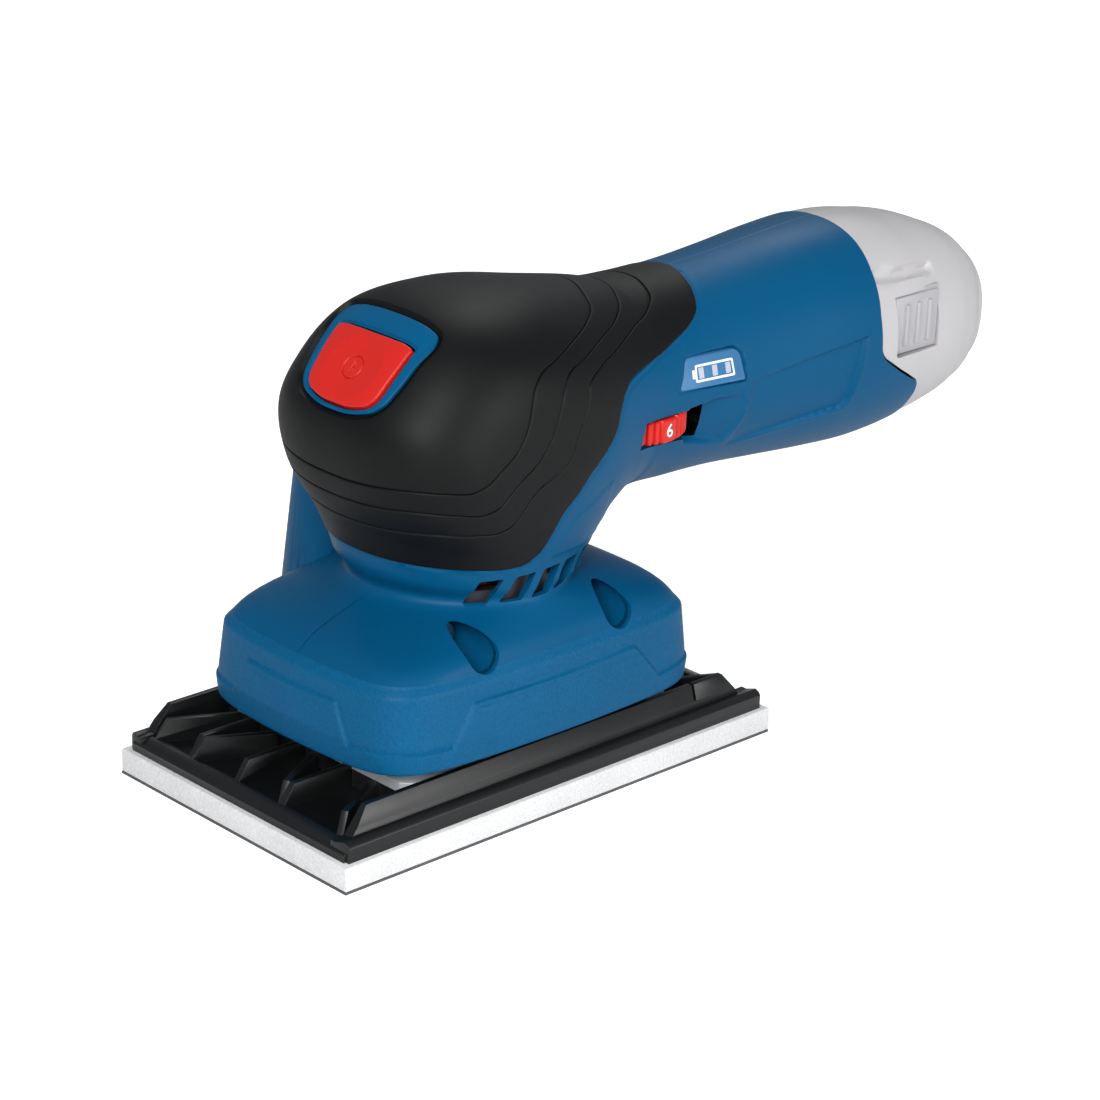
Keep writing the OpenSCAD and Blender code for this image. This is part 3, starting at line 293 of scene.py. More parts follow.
def block(name, size, place=(0, 0, 0)):
    """A box of this size, in metres."""
    bpy.ops.object.select_all(action="DESELECT")
    bpy.ops.mesh.primitive_cube_add(size=1)
    obj = named(name)
    obj.scale = size
    obj.location = place
    return settle(obj)


def laid_grid(name, points, closed=False):
    """A grid primitive whose points are laid on the given rows of places, in millimetres."""
    rows, columns = points.shape[:2]
    bpy.ops.object.select_all(action="DESELECT")
    bpy.ops.mesh.primitive_grid_add(x_subdivisions=columns - 1, y_subdivisions=rows - 1, size=2)
    obj = named(name)
    obj.data.vertices.foreach_set("co", (points.reshape(-1, 3) * MM).astype(np.float32).ravel())
    if closed:
        merge_points(obj)
    obj.data.update()
    return obj


def outward(obj):
    in_edit(obj)
    bpy.ops.mesh.select_all(action="SELECT")
    bpy.ops.mesh.normals_make_consistent(inside=False)
    out_of_edit()
    return obj


def grid_normals(points):
    along = np.gradient(points, axis=0)
    across = np.gradient(points, axis=1)
    n = np.cross(across, along)
    return n / np.maximum(np.linalg.norm(n, axis=-1, keepdims=True), 1e-9)


def with_relief(half, relief):
    """A right half's points moved out by its relief, with both edges kept on the middle plane."""
    half[:, [0, -1], 0] = 0
    normals = grid_normals(half)
    if normals[len(half) // 2, half.shape[1] // 2, 0] < 0:
        normals = -normals
    normals[:, [0, -1], 0] = 0
    return half + normals * relief(half)[..., None]


def both_sides(half):
    """The rows of a right half, led on round the left side."""
    return np.concatenate([half, half[:, ::-1][:, 1:] * [-1, 1, 1]], 1)


def combine(obj, other, how, keep=False):
    """Joins, cuts or intersects two closed pieces."""
    only(obj)
    m = obj.modifiers.new("combine", "BOOLEAN")
    m.operation, m.solver, m.object = how, "MANIFOLD", other
    bpy.ops.object.modifier_apply(modifier="combine")
    if not keep:
        bpy.data.objects.remove(other)
    return obj


def cut(obj, other, keep=False):
    return combine(obj, other, "DIFFERENCE", keep)


def soften(obj, degrees=40):
    only(obj)
    bpy.ops.object.shade_smooth_by_angle(angle=math.radians(degrees))
    return obj


def drawn_out(name, face, depth):
    """A block from a face of points, in millimetres, to its copy at this depth along X."""
    bpy.ops.object.select_all(action="DESELECT")
    bpy.ops.mesh.primitive_circle_add(vertices=len(face), fill_type="NGON", radius=1)
    obj = named(name)
    obj.data.vertices.foreach_set("co", (np.array(face) * MM).astype(np.float32).ravel())
    in_edit(obj)
    bpy.ops.mesh.select_all(action="SELECT")
    bpy.ops.mesh.extrude_region_move(TRANSFORM_OT_translate={"value": (depth * MM, 0, 0)})
    out_of_edit()
    return outward(obj)


def side_block(name, corners, x0, x1):
    """A block with a side view outline, from x0 to x1."""
    return drawn_out(name, [(x0, y, z) for y, z in corners], x1 - x0)


def rod_along_x(name, y, z, x0, x1, r, sides=64):
    bpy.ops.object.select_all(action="DESELECT")
    bpy.ops.mesh.primitive_cylinder_add(
        vertices=sides, radius=r * MM, depth=abs(x1 - x0) * MM,
        location=((x0 + x1) / 2 * MM, y * MM, z * MM), rotation=(0, math.pi / 2, 0),
    )
    return settle(named(name))


# ------------------------------------------------------------------ housing shells

WALL = 2.0
SKIRT_TOP = 38.3
# shares of half a section that stay close together at its edges, for the parting line
PARTING = [0.0, 0.0012, 0.003, 0.006]
PARTING_DEPTH = 0.09


def parting_line(x):
    return -PARTING_DEPTH * (1 - rise(np.abs(x), 0.05, 0.25))


def end_line(z):
    """How far back the handle's cover reaches at each height, in the side view."""
    heights = [50, 64, 68.6, 70.4, 72.0, 76.8, 80.6, 81.9, 83.6, 92, 103, 108, 114]
    places = [131.0, 132.0, 132.4, 131.9, 130.6, 122.4, 116.6, 115.3, 114.7, 114.5, 115.6, 116.5, 117.0]
    return np.interp(z, heights, places)


def end_stations(shares, gap=0.0):
    """The stations at which a half's columns meet the end line, or a gap behind it."""
    stations = np.full(len(shares), 170.0)
    angles = even_angles([170.0], shares)[0]
    for _ in range(8):
        stations = HANDLE_FROM - PIVOT_Y + gap + end_line(body_point(stations, angles)[:, 2])
    return stations


# outlines in the side view, as (y, z)
GRIP_EDGE = [
    (66, 112), (64.4, 107.4), (61.9, 104.5), (59.2, 101.7), (55.3, 99.7), (48.7, 97.5),
    (38, 95.1), (30, 93.4), (27.5, 92.6), (25.3, 90.9), (22.5, 86.1), (19.8, 81.3), (15.6, 76.7),
    (9.7, 73.3), (4.8, 68), (1, 62.5), (-1.3, 59.3), (-3.8, 57.4), (-8.6, 57.2), (-16.6, 57.8),
    (-23.6, 58.2), (-32, 58.4),
]
SCOOP = [
    (50.5, 81.3), (59.8, 82.0), (68.9, 81.5), (70.4, 78.6), (69.6, 74.8), (64.8, 68.6),
    (58.2, 69.9), (50.5, 72.2),
]
LABEL = [
    (71.3, 83.8), (109.9, 88.2), (105.6, 71.6), (103.6, 69.9), (67.0, 67.0), (69.9, 74.2), (71.0, 79.0),
]
DISPLAY = [(49.8, 93.4), (66.4, 92.9), (68.4, 91.2), (69.2, 84.6), (46.4, 85.9)]
DIAL_WINDOW = [(33.9, 81.7), (51.9, 80.9), (52.6, 73.2), (33.1, 75.1)]
NECK_PANEL = [(2.4, 57.3), (4.6, 61.4), (9.6, 65.5), (24, 71), (24, 56.5), (16, 56.2)]


def shell_relief(points, right):
    """How far the shell's surface stands out at each point."""
    x, y, z = points[..., 0], points[..., 1], points[..., 2]
    out = parting_line(x)
    under_grip = outline_distance(y, z, GRIP_EDGE + [(-60, 58.4), (-60, 130), (66, 130)])
    out = out - 1.3 * (1 - rise(under_grip, -0.9, -0.3))
    edge = line_distance(y, z, GRIP_EDGE)
    out = out - 0.28 * groove(edge - 0.75, 1.1) * (z > 56.6)
    out = out + 0.10 * groove(edge - 3.0, 1.2) * (z < 60) * (y < 0)
    if not right:
        return out
    scoop = outline_distance(y, z, SCOOP)
    depth = 0.35 + 2.1 * rise(70 - y, 0, 19)
    out = out - depth * (1 - rise(scoop, -1.1, 0.1))
    out = out + 0.12 * groove(scoop - 0.35, 0.9) * (z > 78) * (y > 54)
    label = outline_distance(y, z, LABEL)
    out = out - (0.55 + 0.55 * rise(y, 72, 106)) * (1 - rise(label, -0.5, 0.0)) * rise(y, 64, 74)
    out = out + 0.14 * groove(label - 0.35, 1.1) * rise(y, 70, 78)
    pocket = outline_distance(y, z, DISPLAY)
    out = out - (0.25 + 0.95 * rise(y, 47, 69)) * (1 - rise(pocket, -0.1, 0.45))
    out = out + 0.22 * (1 - rise(outline_distance(y, z, NECK_PANEL), -0.5, 0.1))
    return out


def body_solid(name, inset, first=-30, last=190):
    """The body set in on all sides, as one closed piece."""
    u = spaced((first, 4), (first + 4, 1.5), (0, 3), (90, 6), (last,))
    angles = even_angles(u, np.linspace(0, 1, 49))
    obj = laid_grid(name, both_sides(body_point(u[:, None], angles, inset)), closed=True)
    fill_ends(obj)
    return outward(obj)


EVEN_TO = 148


def half_solid(name, right):
    """One half of the body above the skirt, closed at its parting plane."""
    if right:
        shares = spaced((0, 0.009), (0.33, 0.0042), (0.74, 0.009), (1,))
        u = spaced((SKIRT_TOP - PIVOT_Z, 0.8), (3, 0.9), (14, 0.6), (100, 0.4), (EVEN_TO,))
    else:
        shares = spaced((0, 0.009), (1,))
        u = spaced((SKIRT_TOP - PIVOT_Z, 0.8), (3, 0.9), (14, 0.9), (100, 1.0), (EVEN_TO,))
    shares = np.unique(np.concatenate([PARTING, shares[2:-2], 1 - np.array(PARTING)]))
    along = np.broadcast_to(u[:, None], (len(u), len(shares))).copy()
    angles = even_angles(u, shares)
    # the last rows run out from the even stations to the end line
    last = end_stations(shares)
    steps = spaced((0, 0.5 / 27 if right else 1 / 27), (0.93, 0.01), (1,))[1:]
    tail = EVEN_TO + (last[None, :] - EVEN_TO) * steps[:, None]
    tail_angles = np.repeat(even_angles([160.0], shares), len(steps), 0)
    blend = np.clip(steps * 1.4, 0, 1)[:, None]
    tail_angles = angles[-1] * (1 - blend) + tail_angles * blend
    along = np.concatenate([along, tail])
    angles = np.concatenate([angles, tail_angles])
    points = with_relief(body_point(along, angles), lambda half: shell_relief(half, right))
    if not right:
        points = points * [-1, 1, 1]
    return outward(laid_grid(name, closed_half(points), closed=True))


def closed_half(points):
    """The rows of a half, led back along the parting plane and drawn in to it at both ends."""
    n = points.shape[1]
    picks = np.unique(np.append(np.arange(0, n, 6), n - 1))
    snap = picks[np.abs(np.arange(n)[:, None] - picks[None, :]).argmin(1)]
    flat = points * [0, 1, 1]
    back = flat[:, picks[-2:0:-1]]
    rings = np.concatenate([points, back, points[:, :1]], 1)
    caps = [np.concatenate([flat[row, snap], back[row], flat[row, :1]])[None] for row in (0, -1)]
    return np.concatenate([caps[0], rings, caps[1]])


WELLS = [(-21.0, 41.7), (20.6, 41.7)]
WELL_R, WELL_FLOOR = 4.4, 17.0


def cut_wells(obj):
    for y, z in WELLS:
        cut(obj, rod_along_x("well", y, z, WELL_FLOOR, 60, WELL_R))


# the slots' turns round the neck, their length, width and height, and their place on it
VENT_TURNS = [59, 77, 94, 110, 127]
VENT_SIZE = (14, 5.6, 6.3)
VENT_REACH, VENT_HEIGHT, VENT_LEAN = 26, 51.5, 0.53


def cut_vents(obj, side):
    """Slots that lean round the neck."""
    lean = Matrix(((1, 0, 0, 0), (0, 1, VENT_LEAN, 0), (0, 0, 1, 0), (0, 0, 0, 1)))
    place = Matrix.Translation((VENT_REACH * MM, SKIRT_Y * MM, VENT_HEIGHT * MM))
    for turn in VENT_TURNS:
        slot = block("vent", [v * MM for v in VENT_SIZE])
        bevel_edges(slot, 0.45, 3)
        slot.data.transform(Matrix.Rotation(math.radians(turn - 90), 4, "Z") @ place @ lean)
        if side < 0:
            slot.data.transform(Matrix.Scale(-1, 4, (1, 0, 0)))
            outward(slot)
        cut(obj, slot)


def make_shells():
    right = half_solid("shell_right", True)
    left = half_solid("shell_left", False)
    space = body_solid("inner_space", WALL)
    for shell, side in ((right, 1), (left, -1)):
        cut(shell, space, keep=True)
        cut_vents(shell, side)
        cut(shell, switch_hole())
    bpy.data.objects.remove(space)
    cut_wells(right)
    cut(right, side_block("dial_window", DIAL_WINDOW, 15, 45))
    for shell in (right, left):
        soften(shell, 50)
    return right, left


def switch_hole():
    """A block through the front of the head, under the bezel."""
    hole = block("switch_hole", [v * MM for v in (30, 20, 30)])
    place = Matrix.Translation((0, -30.9 * MM, 101.5 * MM))
    hole.data.transform(place @ Matrix.Rotation(math.radians(45), 4, "X"))
    return hole


SKIRT_LOW = SKIRT[0][0]
SIDE_PANEL = [(-32.6, 23.0), (-26.2, 32.2), (23.6, 32.6), (31.8, 23.0), (31.8, 15), (-32.6, 15)]
END_PANEL = [(-17.6, 23.0), (-12.0, 32.0), (15.2, 32.2), (20.4, 23.0), (20.4, 15), (-17.6, 15)]


def skirt_relief(points):
    x, y, z = points[..., 0], points[..., 1], points[..., 2]
    band = z - 23.4
    side = np.where(np.abs(x) > 30, outline_distance(y, z, SIDE_PANEL), 9)
    end = np.where(np.abs(y - SKIRT_Y) > 42, outline_distance(x, z, END_PANEL), 9)
    panel = np.minimum(np.minimum(side, end), band)
    out = 0.75 * (1 - rise(panel, -0.35, 0.15))
    inner_line = np.minimum(side, end)
    out = out - 0.2 * groove(inner_line + 1.5, 0.6) * (z > 30)
    out = out + parting_line(x)
    return out - 0.25 * (1 - rise(z, SKIRT_LOW, SKIRT_LOW + 0.5))


def make_skirt():
    shares = spaced((0, 1 / 400), (1,))
    shares = np.unique(np.concatenate([[0, 0.0008, 0.0018], shares[1:-1], [0.9982, 0.9992, 1]]))
    u = spaced((SKIRT_LOW - PIVOT_Z, 0.42), (SKIRT_TOP - PIVOT_Z,))
    half = with_relief(body_point(u[:, None], even_angles(u, shares)), skirt_relief)
    back = np.array([u[-1], (u[0] + u[-1]) / 2, u[0]])
    lining = body_point(back[:, None], even_angles(back, shares), WALL)
    half = np.concatenate([half, lining, half[:1]])
    obj = outward(laid_grid("skirt", both_sides(half), closed=True))
    cut_wells(obj)
    return soften(obj, 50)


def make_well_cups():
    cups = []
    core = body_solid("core", 1.0)
    for y, z in WELLS:
        cup = rod_along_x("well_cup", y, z, WELL_FLOOR - 1.5, 50, WELL_R + 1.1)
        combine(cup, core, "INTERSECT", keep=True)
        cut(cup, rod_along_x("well_bore", y, z, WELL_FLOOR, 60, WELL_R))
        cups.append(soften(cup))
    bpy.data.objects.remove(core)
    return cups


# ------------------------------------------------------------------ loops on the head
# Half loops from the top round the right side to the front, as (station, angle)

GRIP_LOOP = [
    (113.4, 0), (112.4, .19), (109.9, .53), (107.2, .73), (103.3, .85), (96.7, .97), (85.2, 1.14),
    (72.8, 1.30), (68.9, 1.40), (63.5, 1.56), (57.0, 1.67), (48.4, 1.74), (39.1, 1.74), (29.5, 1.71),
    (20.7, 1.65), (15.8, 1.58), (12.8, 1.48), (11.35, 1.33), (10.4, 1.03), (9.8, .70), (9.4, .35), (9.3, 0),
]
GROOVE_3 = [
    (99.8, 0), (99.4, .16), (98.3, .31), (96.8, .45), (93.4, .58), (84.5, .78), (73.6, .99), (64, 1.15),
    (58.6, 1.26), (56, 1.37), (51.6, 1.49), (45.4, 1.57), (39.2, 1.575), (32.3, 1.55), (26.6, 1.51),
    (22.7, 1.44), (20.5, 1.34), (18.7, 1.12), (17.1, .77), (15.9, .42), (15.2, 0),
]
GROOVE_2 = [
    (90.1, 0), (89.3, .17), (87.0, .36), (84.3, .53), (79.6, .69), (70.9, .87), (61.8, 1.04),
    (55.4, 1.13), (52.9, 1.21), (49.5, 1.32), (44.3, 1.43), (38.9, 1.47), (33, 1.45), (28.4, 1.40),
    (25.15, 1.33), (23.3, 1.23), (21.7, .99), (20.3, .66), (19.2, .37), (18.6, 0),
]
GROOVE_1 = [
    (80.3, 0), (79.4, .17), (77.3, .35), (74.8, .54), (69.6, .71), (62.3, .87), (55.4, .98),
    (50.5, 1.04), (48.0, 1.10), (44.9, 1.19), (41.4, 1.27), (37.2, 1.31), (32.5, 1.29), (28.75, 1.23),
    (26.5, 1.13), (24.7, .9), (23.3, .62), (22.1, .31), (21.6, 0),
]
BEZEL_LOOP = [
    (46.6, 0), (46.5, .12), (46.2, .24), (45.4, .335), (43.9, .362), (40, .335), (35.6, .305), (33.2, .275),
    (31.7, .22), (30.7, .13), (30.2, .06), (30.1, 0),
]
BUTTON_LOOP = [
    (42.35, 0), (42.35, .10), (42.25, .20), (41.9, .245), (40.6, .243), (38.4, .235), (35.8, .222),
    (33.4, .205), (32.2, .17), (31.5, .11), (31.1, .05), (31.05, 0),
]


def full_loop(half, count):
    """Even steps round a half loop and its mirror image, from the top."""
    half = np.array(half, float)
    whole = np.concatenate([half, (half * [1, -1])[-2:0:-1]])
    places = body_point(whole[:, 0], whole[:, 1])
    reach = 4
    index = np.arange(-reach, len(whole) + reach + 1) % len(whole)
    steps = np.linalg.norm(np.diff(places[index], axis=0), axis=1)
    run = np.concatenate([[0], np.cumsum(steps)])
    start, end = run[reach], run[reach + len(whole)]
    at = start + (end - start) * np.arange(count + 1) / count
    return np.stack([through(run, whole[index, k], at) for k in (0, 1)], -1)


def between(first, second, from_first, count, from_second):
    """Rings between two loops: some at set distances from each, and even ones between these."""
    gap = np.linalg.norm(body_point(*first.T) - body_point(*second.T), axis=1)
    near, far = np.array(from_first)[:, None] / gap, 1 - np.array(from_second)[::-1, None] / gap
    middle = near[-1] + (far[0] - near[-1]) * (np.arange(1, count + 1) / (count + 1))[:, None]
    shares = np.concatenate([near, middle, far])[..., None]
    return first + (second - first) * shares


def lifted(rings, heights):
    """Points over the rings at each height, with the loop closed."""
    points = body_point(rings[..., 0], rings[..., 1])
    wrapped = np.concatenate([points[:, -2:-1], points, points[:, 1:2]], 1)
    normals = grid_normals(wrapped)[:, 1:-1]
    middle = points.reshape(-1, 3).mean(0) + [0, 8, -10]
    if ((points - middle) * normals).sum() < 0:
        normals = -normals
    heights = np.asarray(heights)
    return points + normals * heights.reshape(heights.shape + (1,) * (3 - heights.ndim))


COLUMNS = 440
SWITCH_COLUMNS = 240
GRIP_PROUD = 0.25
GRIP_DEEP = -1.0


def make_grip():
    loops = [full_loop(h, COLUMNS) for h in (BEZEL_LOOP, GROOVE_1, GROOVE_2, GROOVE_3, GRIP_LOOP)]
    lip = [0.03, 0.1, 0.22, 0.42, 0.8]
    lip_heights = [-0.3, -0.05, 0.12, 0.22, GRIP_PROUD]
    line = [0.05, 0.16, 0.32, 0.5]
    line_heights = [-0.5, -0.26, -0.04, 0.0]
    rings, heights = [], []
    counts = [54, 12, 12, 20]
    for k, count in enumerate(counts):
        start = lip if k == 0 else line
        end = lip if k == len(counts) - 1 else line
        rings.append(between(loops[k], loops[k + 1], start, count, end))
        first = lip_heights if k == 0 else [GRIP_PROUD + h for h in line_heights]
        last = lip_heights if k == len(counts) - 1 else [GRIP_PROUD + h for h in line_heights]
        heights += first + [GRIP_PROUD] * count + last[::-1]
    rings = np.concatenate(rings)
    points = lifted(rings, heights)
    under = between(loops[4], loops[0], [0.03, 0.8], 12, [0.8, 0.03])
    lining = lifted(under, [GRIP_DEEP] * len(under))
    obj = laid_grid("grip_cover", np.concatenate([points, lining, points[:1]]), closed=True)
    return soften(outward(obj), 60)


# the way the button goes in
PRESS = np.array([0, math.sqrt(0.5), -math.sqrt(0.5)])


def make_bezel():
    """The frame round the button, with a straight wall along the button's way."""
    outer, inner = full_loop(BEZEL_LOOP, SWITCH_COLUMNS), full_loop(BUTTON_LOOP, SWITCH_COLUMNS)
    edge, edge_heights = [0.12, 0.16, 0.3, 0.5, 0.8], [-0.6, 0.1, 0.3, 0.38, 0.4]
    ledge = [0.42, 0.46, 0.58, 0.95, 1.02, 1.2, 1.35]
    ledge_heights = [0.0, -0.12, 0.0, 0.02, 0.25, 0.38, 0.4]
    rings = between(outer, inner, edge, 8, ledge)
    heights = edge_heights + [0.42] * 8 + ledge_heights[::-1]
    points = lifted(rings, heights)
    points[-1] = points[-2] + 1.1 * PRESS
    under = between(inner, outer, [0.5], 3, [0.12])
    lining = lifted(under, [-2.6] * len(under))
    lining[0] = points[-2] + 2.5 * PRESS
    obj = laid_grid("switch_frame", np.concatenate([points, lining, points[:1]]), closed=True)
    return soften(outward(obj), 50)


BUTTON_MIDDLE = (36.6, 0.0)
DISH_R, MARK_DEPTH = 8.2, 0.5


def make_button():
    """A dished cap with an engraved ring and bar, and a straight wall along its way."""
    loop = full_loop(BUTTON_LOOP, SWITCH_COLUMNS)
    middle = np.broadcast_to(np.array(BUTTON_MIDDLE), loop.shape)
    edge = [0.1, 0.14, 0.22, 0.38, 0.6, 0.95]
    edge_heights = [0.0, 0.2, 0.48, 0.64, 0.72, 0.74]
    rings = between(loop, middle, edge, 110, [0.02, 0.0])
    places = body_point(rings[..., 0], rings[..., 1])
    centre = body_point(*np.array(BUTTON_MIDDLE))
    reach = np.linalg.norm(places - centre, axis=-1)
    upward = (places - centre) @ [0, math.sqrt(0.5), math.sqrt(0.5)]
    heights = 0.74 - 0.65 * np.clip(1 - (reach / DISH_R) ** 2, 0, 1)
    heights = heights - MARK_DEPTH * groove(reach - 2.75, 0.6)
    bar = np.maximum(np.abs(places[..., 0]) - 0.22, np.abs(upward) - 1.3)
    heights = heights - MARK_DEPTH * (1 - rise(bar, 0.0, 0.25))
    heights[: len(edge)] = np.array(edge_heights)[:, None]
    points = lifted(rings, heights)
    points[0] = points[1] + 2.2 * PRESS
    points[-1] = points[-1].mean(0)
    under = between(middle, loop, [0.02], 4, [1.2])
    lining = lifted(under, [-2.1] * len(under))
    lining[0] = lining[0].mean(0)
    obj = laid_grid("button_cap", np.concatenate([points, lining, points[:1]]), closed=True)
    return soften(outward(obj), 60)


# ------------------------------------------------------------------ battery

BATTERY_GAP = 0.35
BORE_DEPTH, BORE_SHARE = 22, 0.78
SLOT = [(113, 102.6), (137.6, 100.6), (138.4, 99.6), (137.4, 98.2), (113, 99.2)]


def battery_relief(points):
    x, y, z = points[..., 0], points[..., 1], points[..., 2]
    return -1.5 * (1 - rise(outline_distance(y, z, SLOT), -0.7, 0.1)) + parting_line(x)


KEY_POCKET = [(121.3, 80.1), (137.3, 80.1), (137.3, 95.2), (120.7, 95.2), (120.7, 80.7)]


def make_battery():
    """The battery's outer cover, from behind the handle's end line to its rounded rear."""
    shares = spaced((0, 0.011), (1,))
    front = end_stations(shares, BATTERY_GAP)
    start, end = 182.0, 214.0
    steps = spaced((0, 0.02), (1,))[:-1]
    head = front[None, :] + (start - front[None, :]) * steps[:, None]
    head_angles = np.repeat(even_angles([176.0], shares), len(steps), 0)
    u = spaced((start, 0.7), (205, 0.45), (end,))
    along = np.concatenate([head, np.broadcast_to(u[:, None], (len(u), len(shares)))])
    turn = np.concatenate([head_angles, even_angles(u, shares)])
    half = with_relief(body_point(along, turn, 0.25), battery_relief)
    lining = body_point(along[0], turn[0], 2.4)[None]
    lining[0, [0, -1], 0] = 0
    # the bore narrows as it goes in, so that it stays inside the rounded rear
    axis = np.array([0, 0, HANDLE_Z])
    deep = axis + (lining - axis) * [BORE_SHARE, 1, BORE_SHARE] + [0, BORE_DEPTH, 0]
    obj = laid_grid("battery_cover", both_sides(np.concatenate([deep, lining, half])), closed=True)
    fill_ends(obj)
    outward(obj)
    for side in (1, -1):
        pocket = side_block("key_pocket", KEY_POCKET, 12, 60)
        pocket.data.transform(Matrix.Scale(side, 4, (1, 0, 0)))
        cut(obj, outward(pocket))
    return soften(obj, 50)


# ------------------------------------------------------------------ refined copies of CAD nodes


def refined(node, width=0.0, sharp=35, segments=2):
    """A copy of a CAD node with merged points and rounded edges, which stands for it."""
    source = frame["nodes"][node]
    obj = source.copy()
    obj.data = source.data.copy()
    obj.name = node + "_finished"
    obj.parent = None
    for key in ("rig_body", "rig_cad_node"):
        if key in obj:
            del obj[key]
    bpy.context.scene.collection.objects.link(obj)
    in_edit(obj)
    bpy.ops.mesh.select_all(action="SELECT")
    bpy.ops.mesh.remove_doubles(threshold=2e-6)
    bpy.ops.mesh.dissolve_limited(angle_limit=math.radians(1.0))
    out_of_edit()
    if width:
        only(obj)
        m = obj.modifiers.new("edges", "BEVEL")
        m.width, m.segments = width * MM, segments
        m.limit_method, m.angle_limit = "ANGLE", math.radians(sharp)
        m.harden_normals = False
        bpy.ops.object.modifier_apply(modifier="edges")
    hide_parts(node)
    return soften(obj, 40)


# ------------------------------------------------------------------ sole


def make_foam():
    low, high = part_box("foam_pad")
    obj = block("foam_sole", high - low, (low + high) / 2)
    bevel_edges(obj, 0.35, 3)
    return soften(obj, 40)


# ------------------------------------------------------------------ display and dial

DISPLAY_CORNERS = [(46.9, 86.1), (68.6, 84.9), (67.7, 91.2), (66.2, 92.5), (50.0, 93.1)]


def on_display(y, z, lift=0.0):
    """A point on the display's flat face, in millimetres."""
    return (24.35 - 0.245 * (z - 85.2) + 0.004 * (y - 46) + lift, y, z)


def face_plate(name, corners, lift, depth):
    """A plate with its face on the display's plane, or lifted off it."""
    return drawn_out(name, [on_display(y, z, lift) for y, z in corners], -depth)


def rounded(corners, r, steps=4):
    """An outline with rounded corners."""
    out = []
    for k, c in enumerate(corners):
        c = np.array(c, float)
        before, after = np.array(corners[k - 1]) - c, np.array(corners[(k + 1) % len(corners)]) - c
        a, b = c + before / np.linalg.norm(before) * r, c + after / np.linalg.norm(after) * r
        for t in np.linspace(0, 1, steps + 1):
            out.append(tuple(a * (1 - t) ** 2 + 2 * c * t * (1 - t) + b * t * t))
    return out


def make_display():
    """The display's plate, the battery mark on it and its three lamps."""
    plate = face_plate("display_plate", rounded(DISPLAY_CORNERS, 0.9), 0.0, 3.0)
    bevel_edges(plate, 0.22, 2)
    soften(plate)
    frame_out = rounded([(52.2, 87.2), (65.2, 86.6), (64.9, 90.7), (52.4, 91.2)], 0.5)
    frame_in = rounded([(52.75, 87.7), (64.65, 87.15), (64.4, 90.2), (52.9, 90.65)], 0.3)
    outline = face_plate("display_frame", frame_out, 0.07, 0.4)
    cut(outline, face_plate("frame_gap", frame_in, 0.5, 1.2))
    nub = rounded([(51.3, 88.2), (52.3, 88.1), (52.3, 90.1), (51.4, 90.2)], 0.2)
    combine(outline, face_plate("display_nub", nub, 0.07, 0.4), "UNION")
    lamps = []
    for y in (54.2, 58.7, 63.1):
        z = 88.95 - 0.04 * (y - 58.6)
        corners = [(y + a * 0.8, z + b * 1.25) for a, b in ((-1, -1), (1, -1), (1, 1), (-1, 1))]
        lamps.append(soften(face_plate("charge_lamp", rounded(corners, 0.2), 0.12, 1.5)))
    return plate, soften(outline), lamps


DIAL_X, DIAL_Y, DIAL_LOW, DIAL_HIGH, DIAL_R = 10.7, 41.8, 75.2, 80.8, 15.0
DIAL_TURN = 2.0
DIAL_BORE_R = 3.1
RIBS = 48
RIB_SHAPE = [0.0, 0.6, 0.75, 0.75, 0.6, 0.0]


def make_dial():
    """A ribbed wheel: each of six flats carries its number, with ribs between."""
    count = RIBS * len(RIB_SHAPE)
    turns = np.arange(count) / count * 2 * math.pi
    ribs = np.tile(RIB_SHAPE, RIBS)
    flat = np.abs((np.degrees(turns) + 30 - DIAL_TURN) % 60 - 30) < 7.3
    radius = np.where(flat, DIAL_R - 0.05, DIAL_R - 0.85 + ribs)

    def ring(r, z):
        x, y = DIAL_X + r * np.cos(turns), DIAL_Y + r * np.sin(turns)
        return np.stack([x, y, np.full(count, z)], -1)

    points = np.array([
        ring(radius - 0.45, DIAL_LOW), ring(radius, DIAL_LOW + 0.4), ring(radius, DIAL_HIGH - 0.4),
        ring(radius - 0.45, DIAL_HIGH), ring(DIAL_BORE_R, DIAL_HIGH), ring(DIAL_BORE_R, DIAL_LOW),
        ring(radius - 0.45, DIAL_LOW),
    ])
    points = np.concatenate([points, points[:, :1]], 1)
    obj = soften(outward(laid_grid("dial_wheel", points, closed=True)), 35)
    figures = []
    for number in range(1, 7):
        turn = math.radians(DIAL_TURN + 60 * (6 - number))
        bpy.ops.object.select_all(action="DESELECT")
        bpy.ops.object.text_add()
        text = bpy.context.active_object
        text.data.body = str(number)
        text.data.size = 4.5 * MM
        text.data.align_x, text.data.align_y = "CENTER", "CENTER"
        text.data.extrude = 0.08 * MM
        text.data.resolution_u = 6
        bpy.ops.object.convert(target="MESH")
        figure = named("dial_figure")
        merge_points(figure)
        upright = Matrix.Rotation(math.pi / 2, 4, "Z") @ Matrix.Rotation(math.pi / 2, 4, "X")
        out = Matrix.Translation(((DIAL_R - 0.03) * MM, 0, 0))
        spot = Matrix.Translation((DIAL_X * MM, DIAL_Y * MM, (DIAL_LOW + DIAL_HIGH) / 2 * MM))
        figure.data.transform(spot @ Matrix.Rotation(turn, 4, "Z") @ out @ upright)
        figures.append(settle(figure))
    return obj, figures


# ------------------------------------------------------------------ materials


def srgb(r, g, b):
    out = []
    for v in (r, g, b):
        v /= 255
        out.append(v / 12.92 if v <= 0.04045 else ((v + 0.055) / 1.055) ** 2.4)
    return (*out, 1.0)


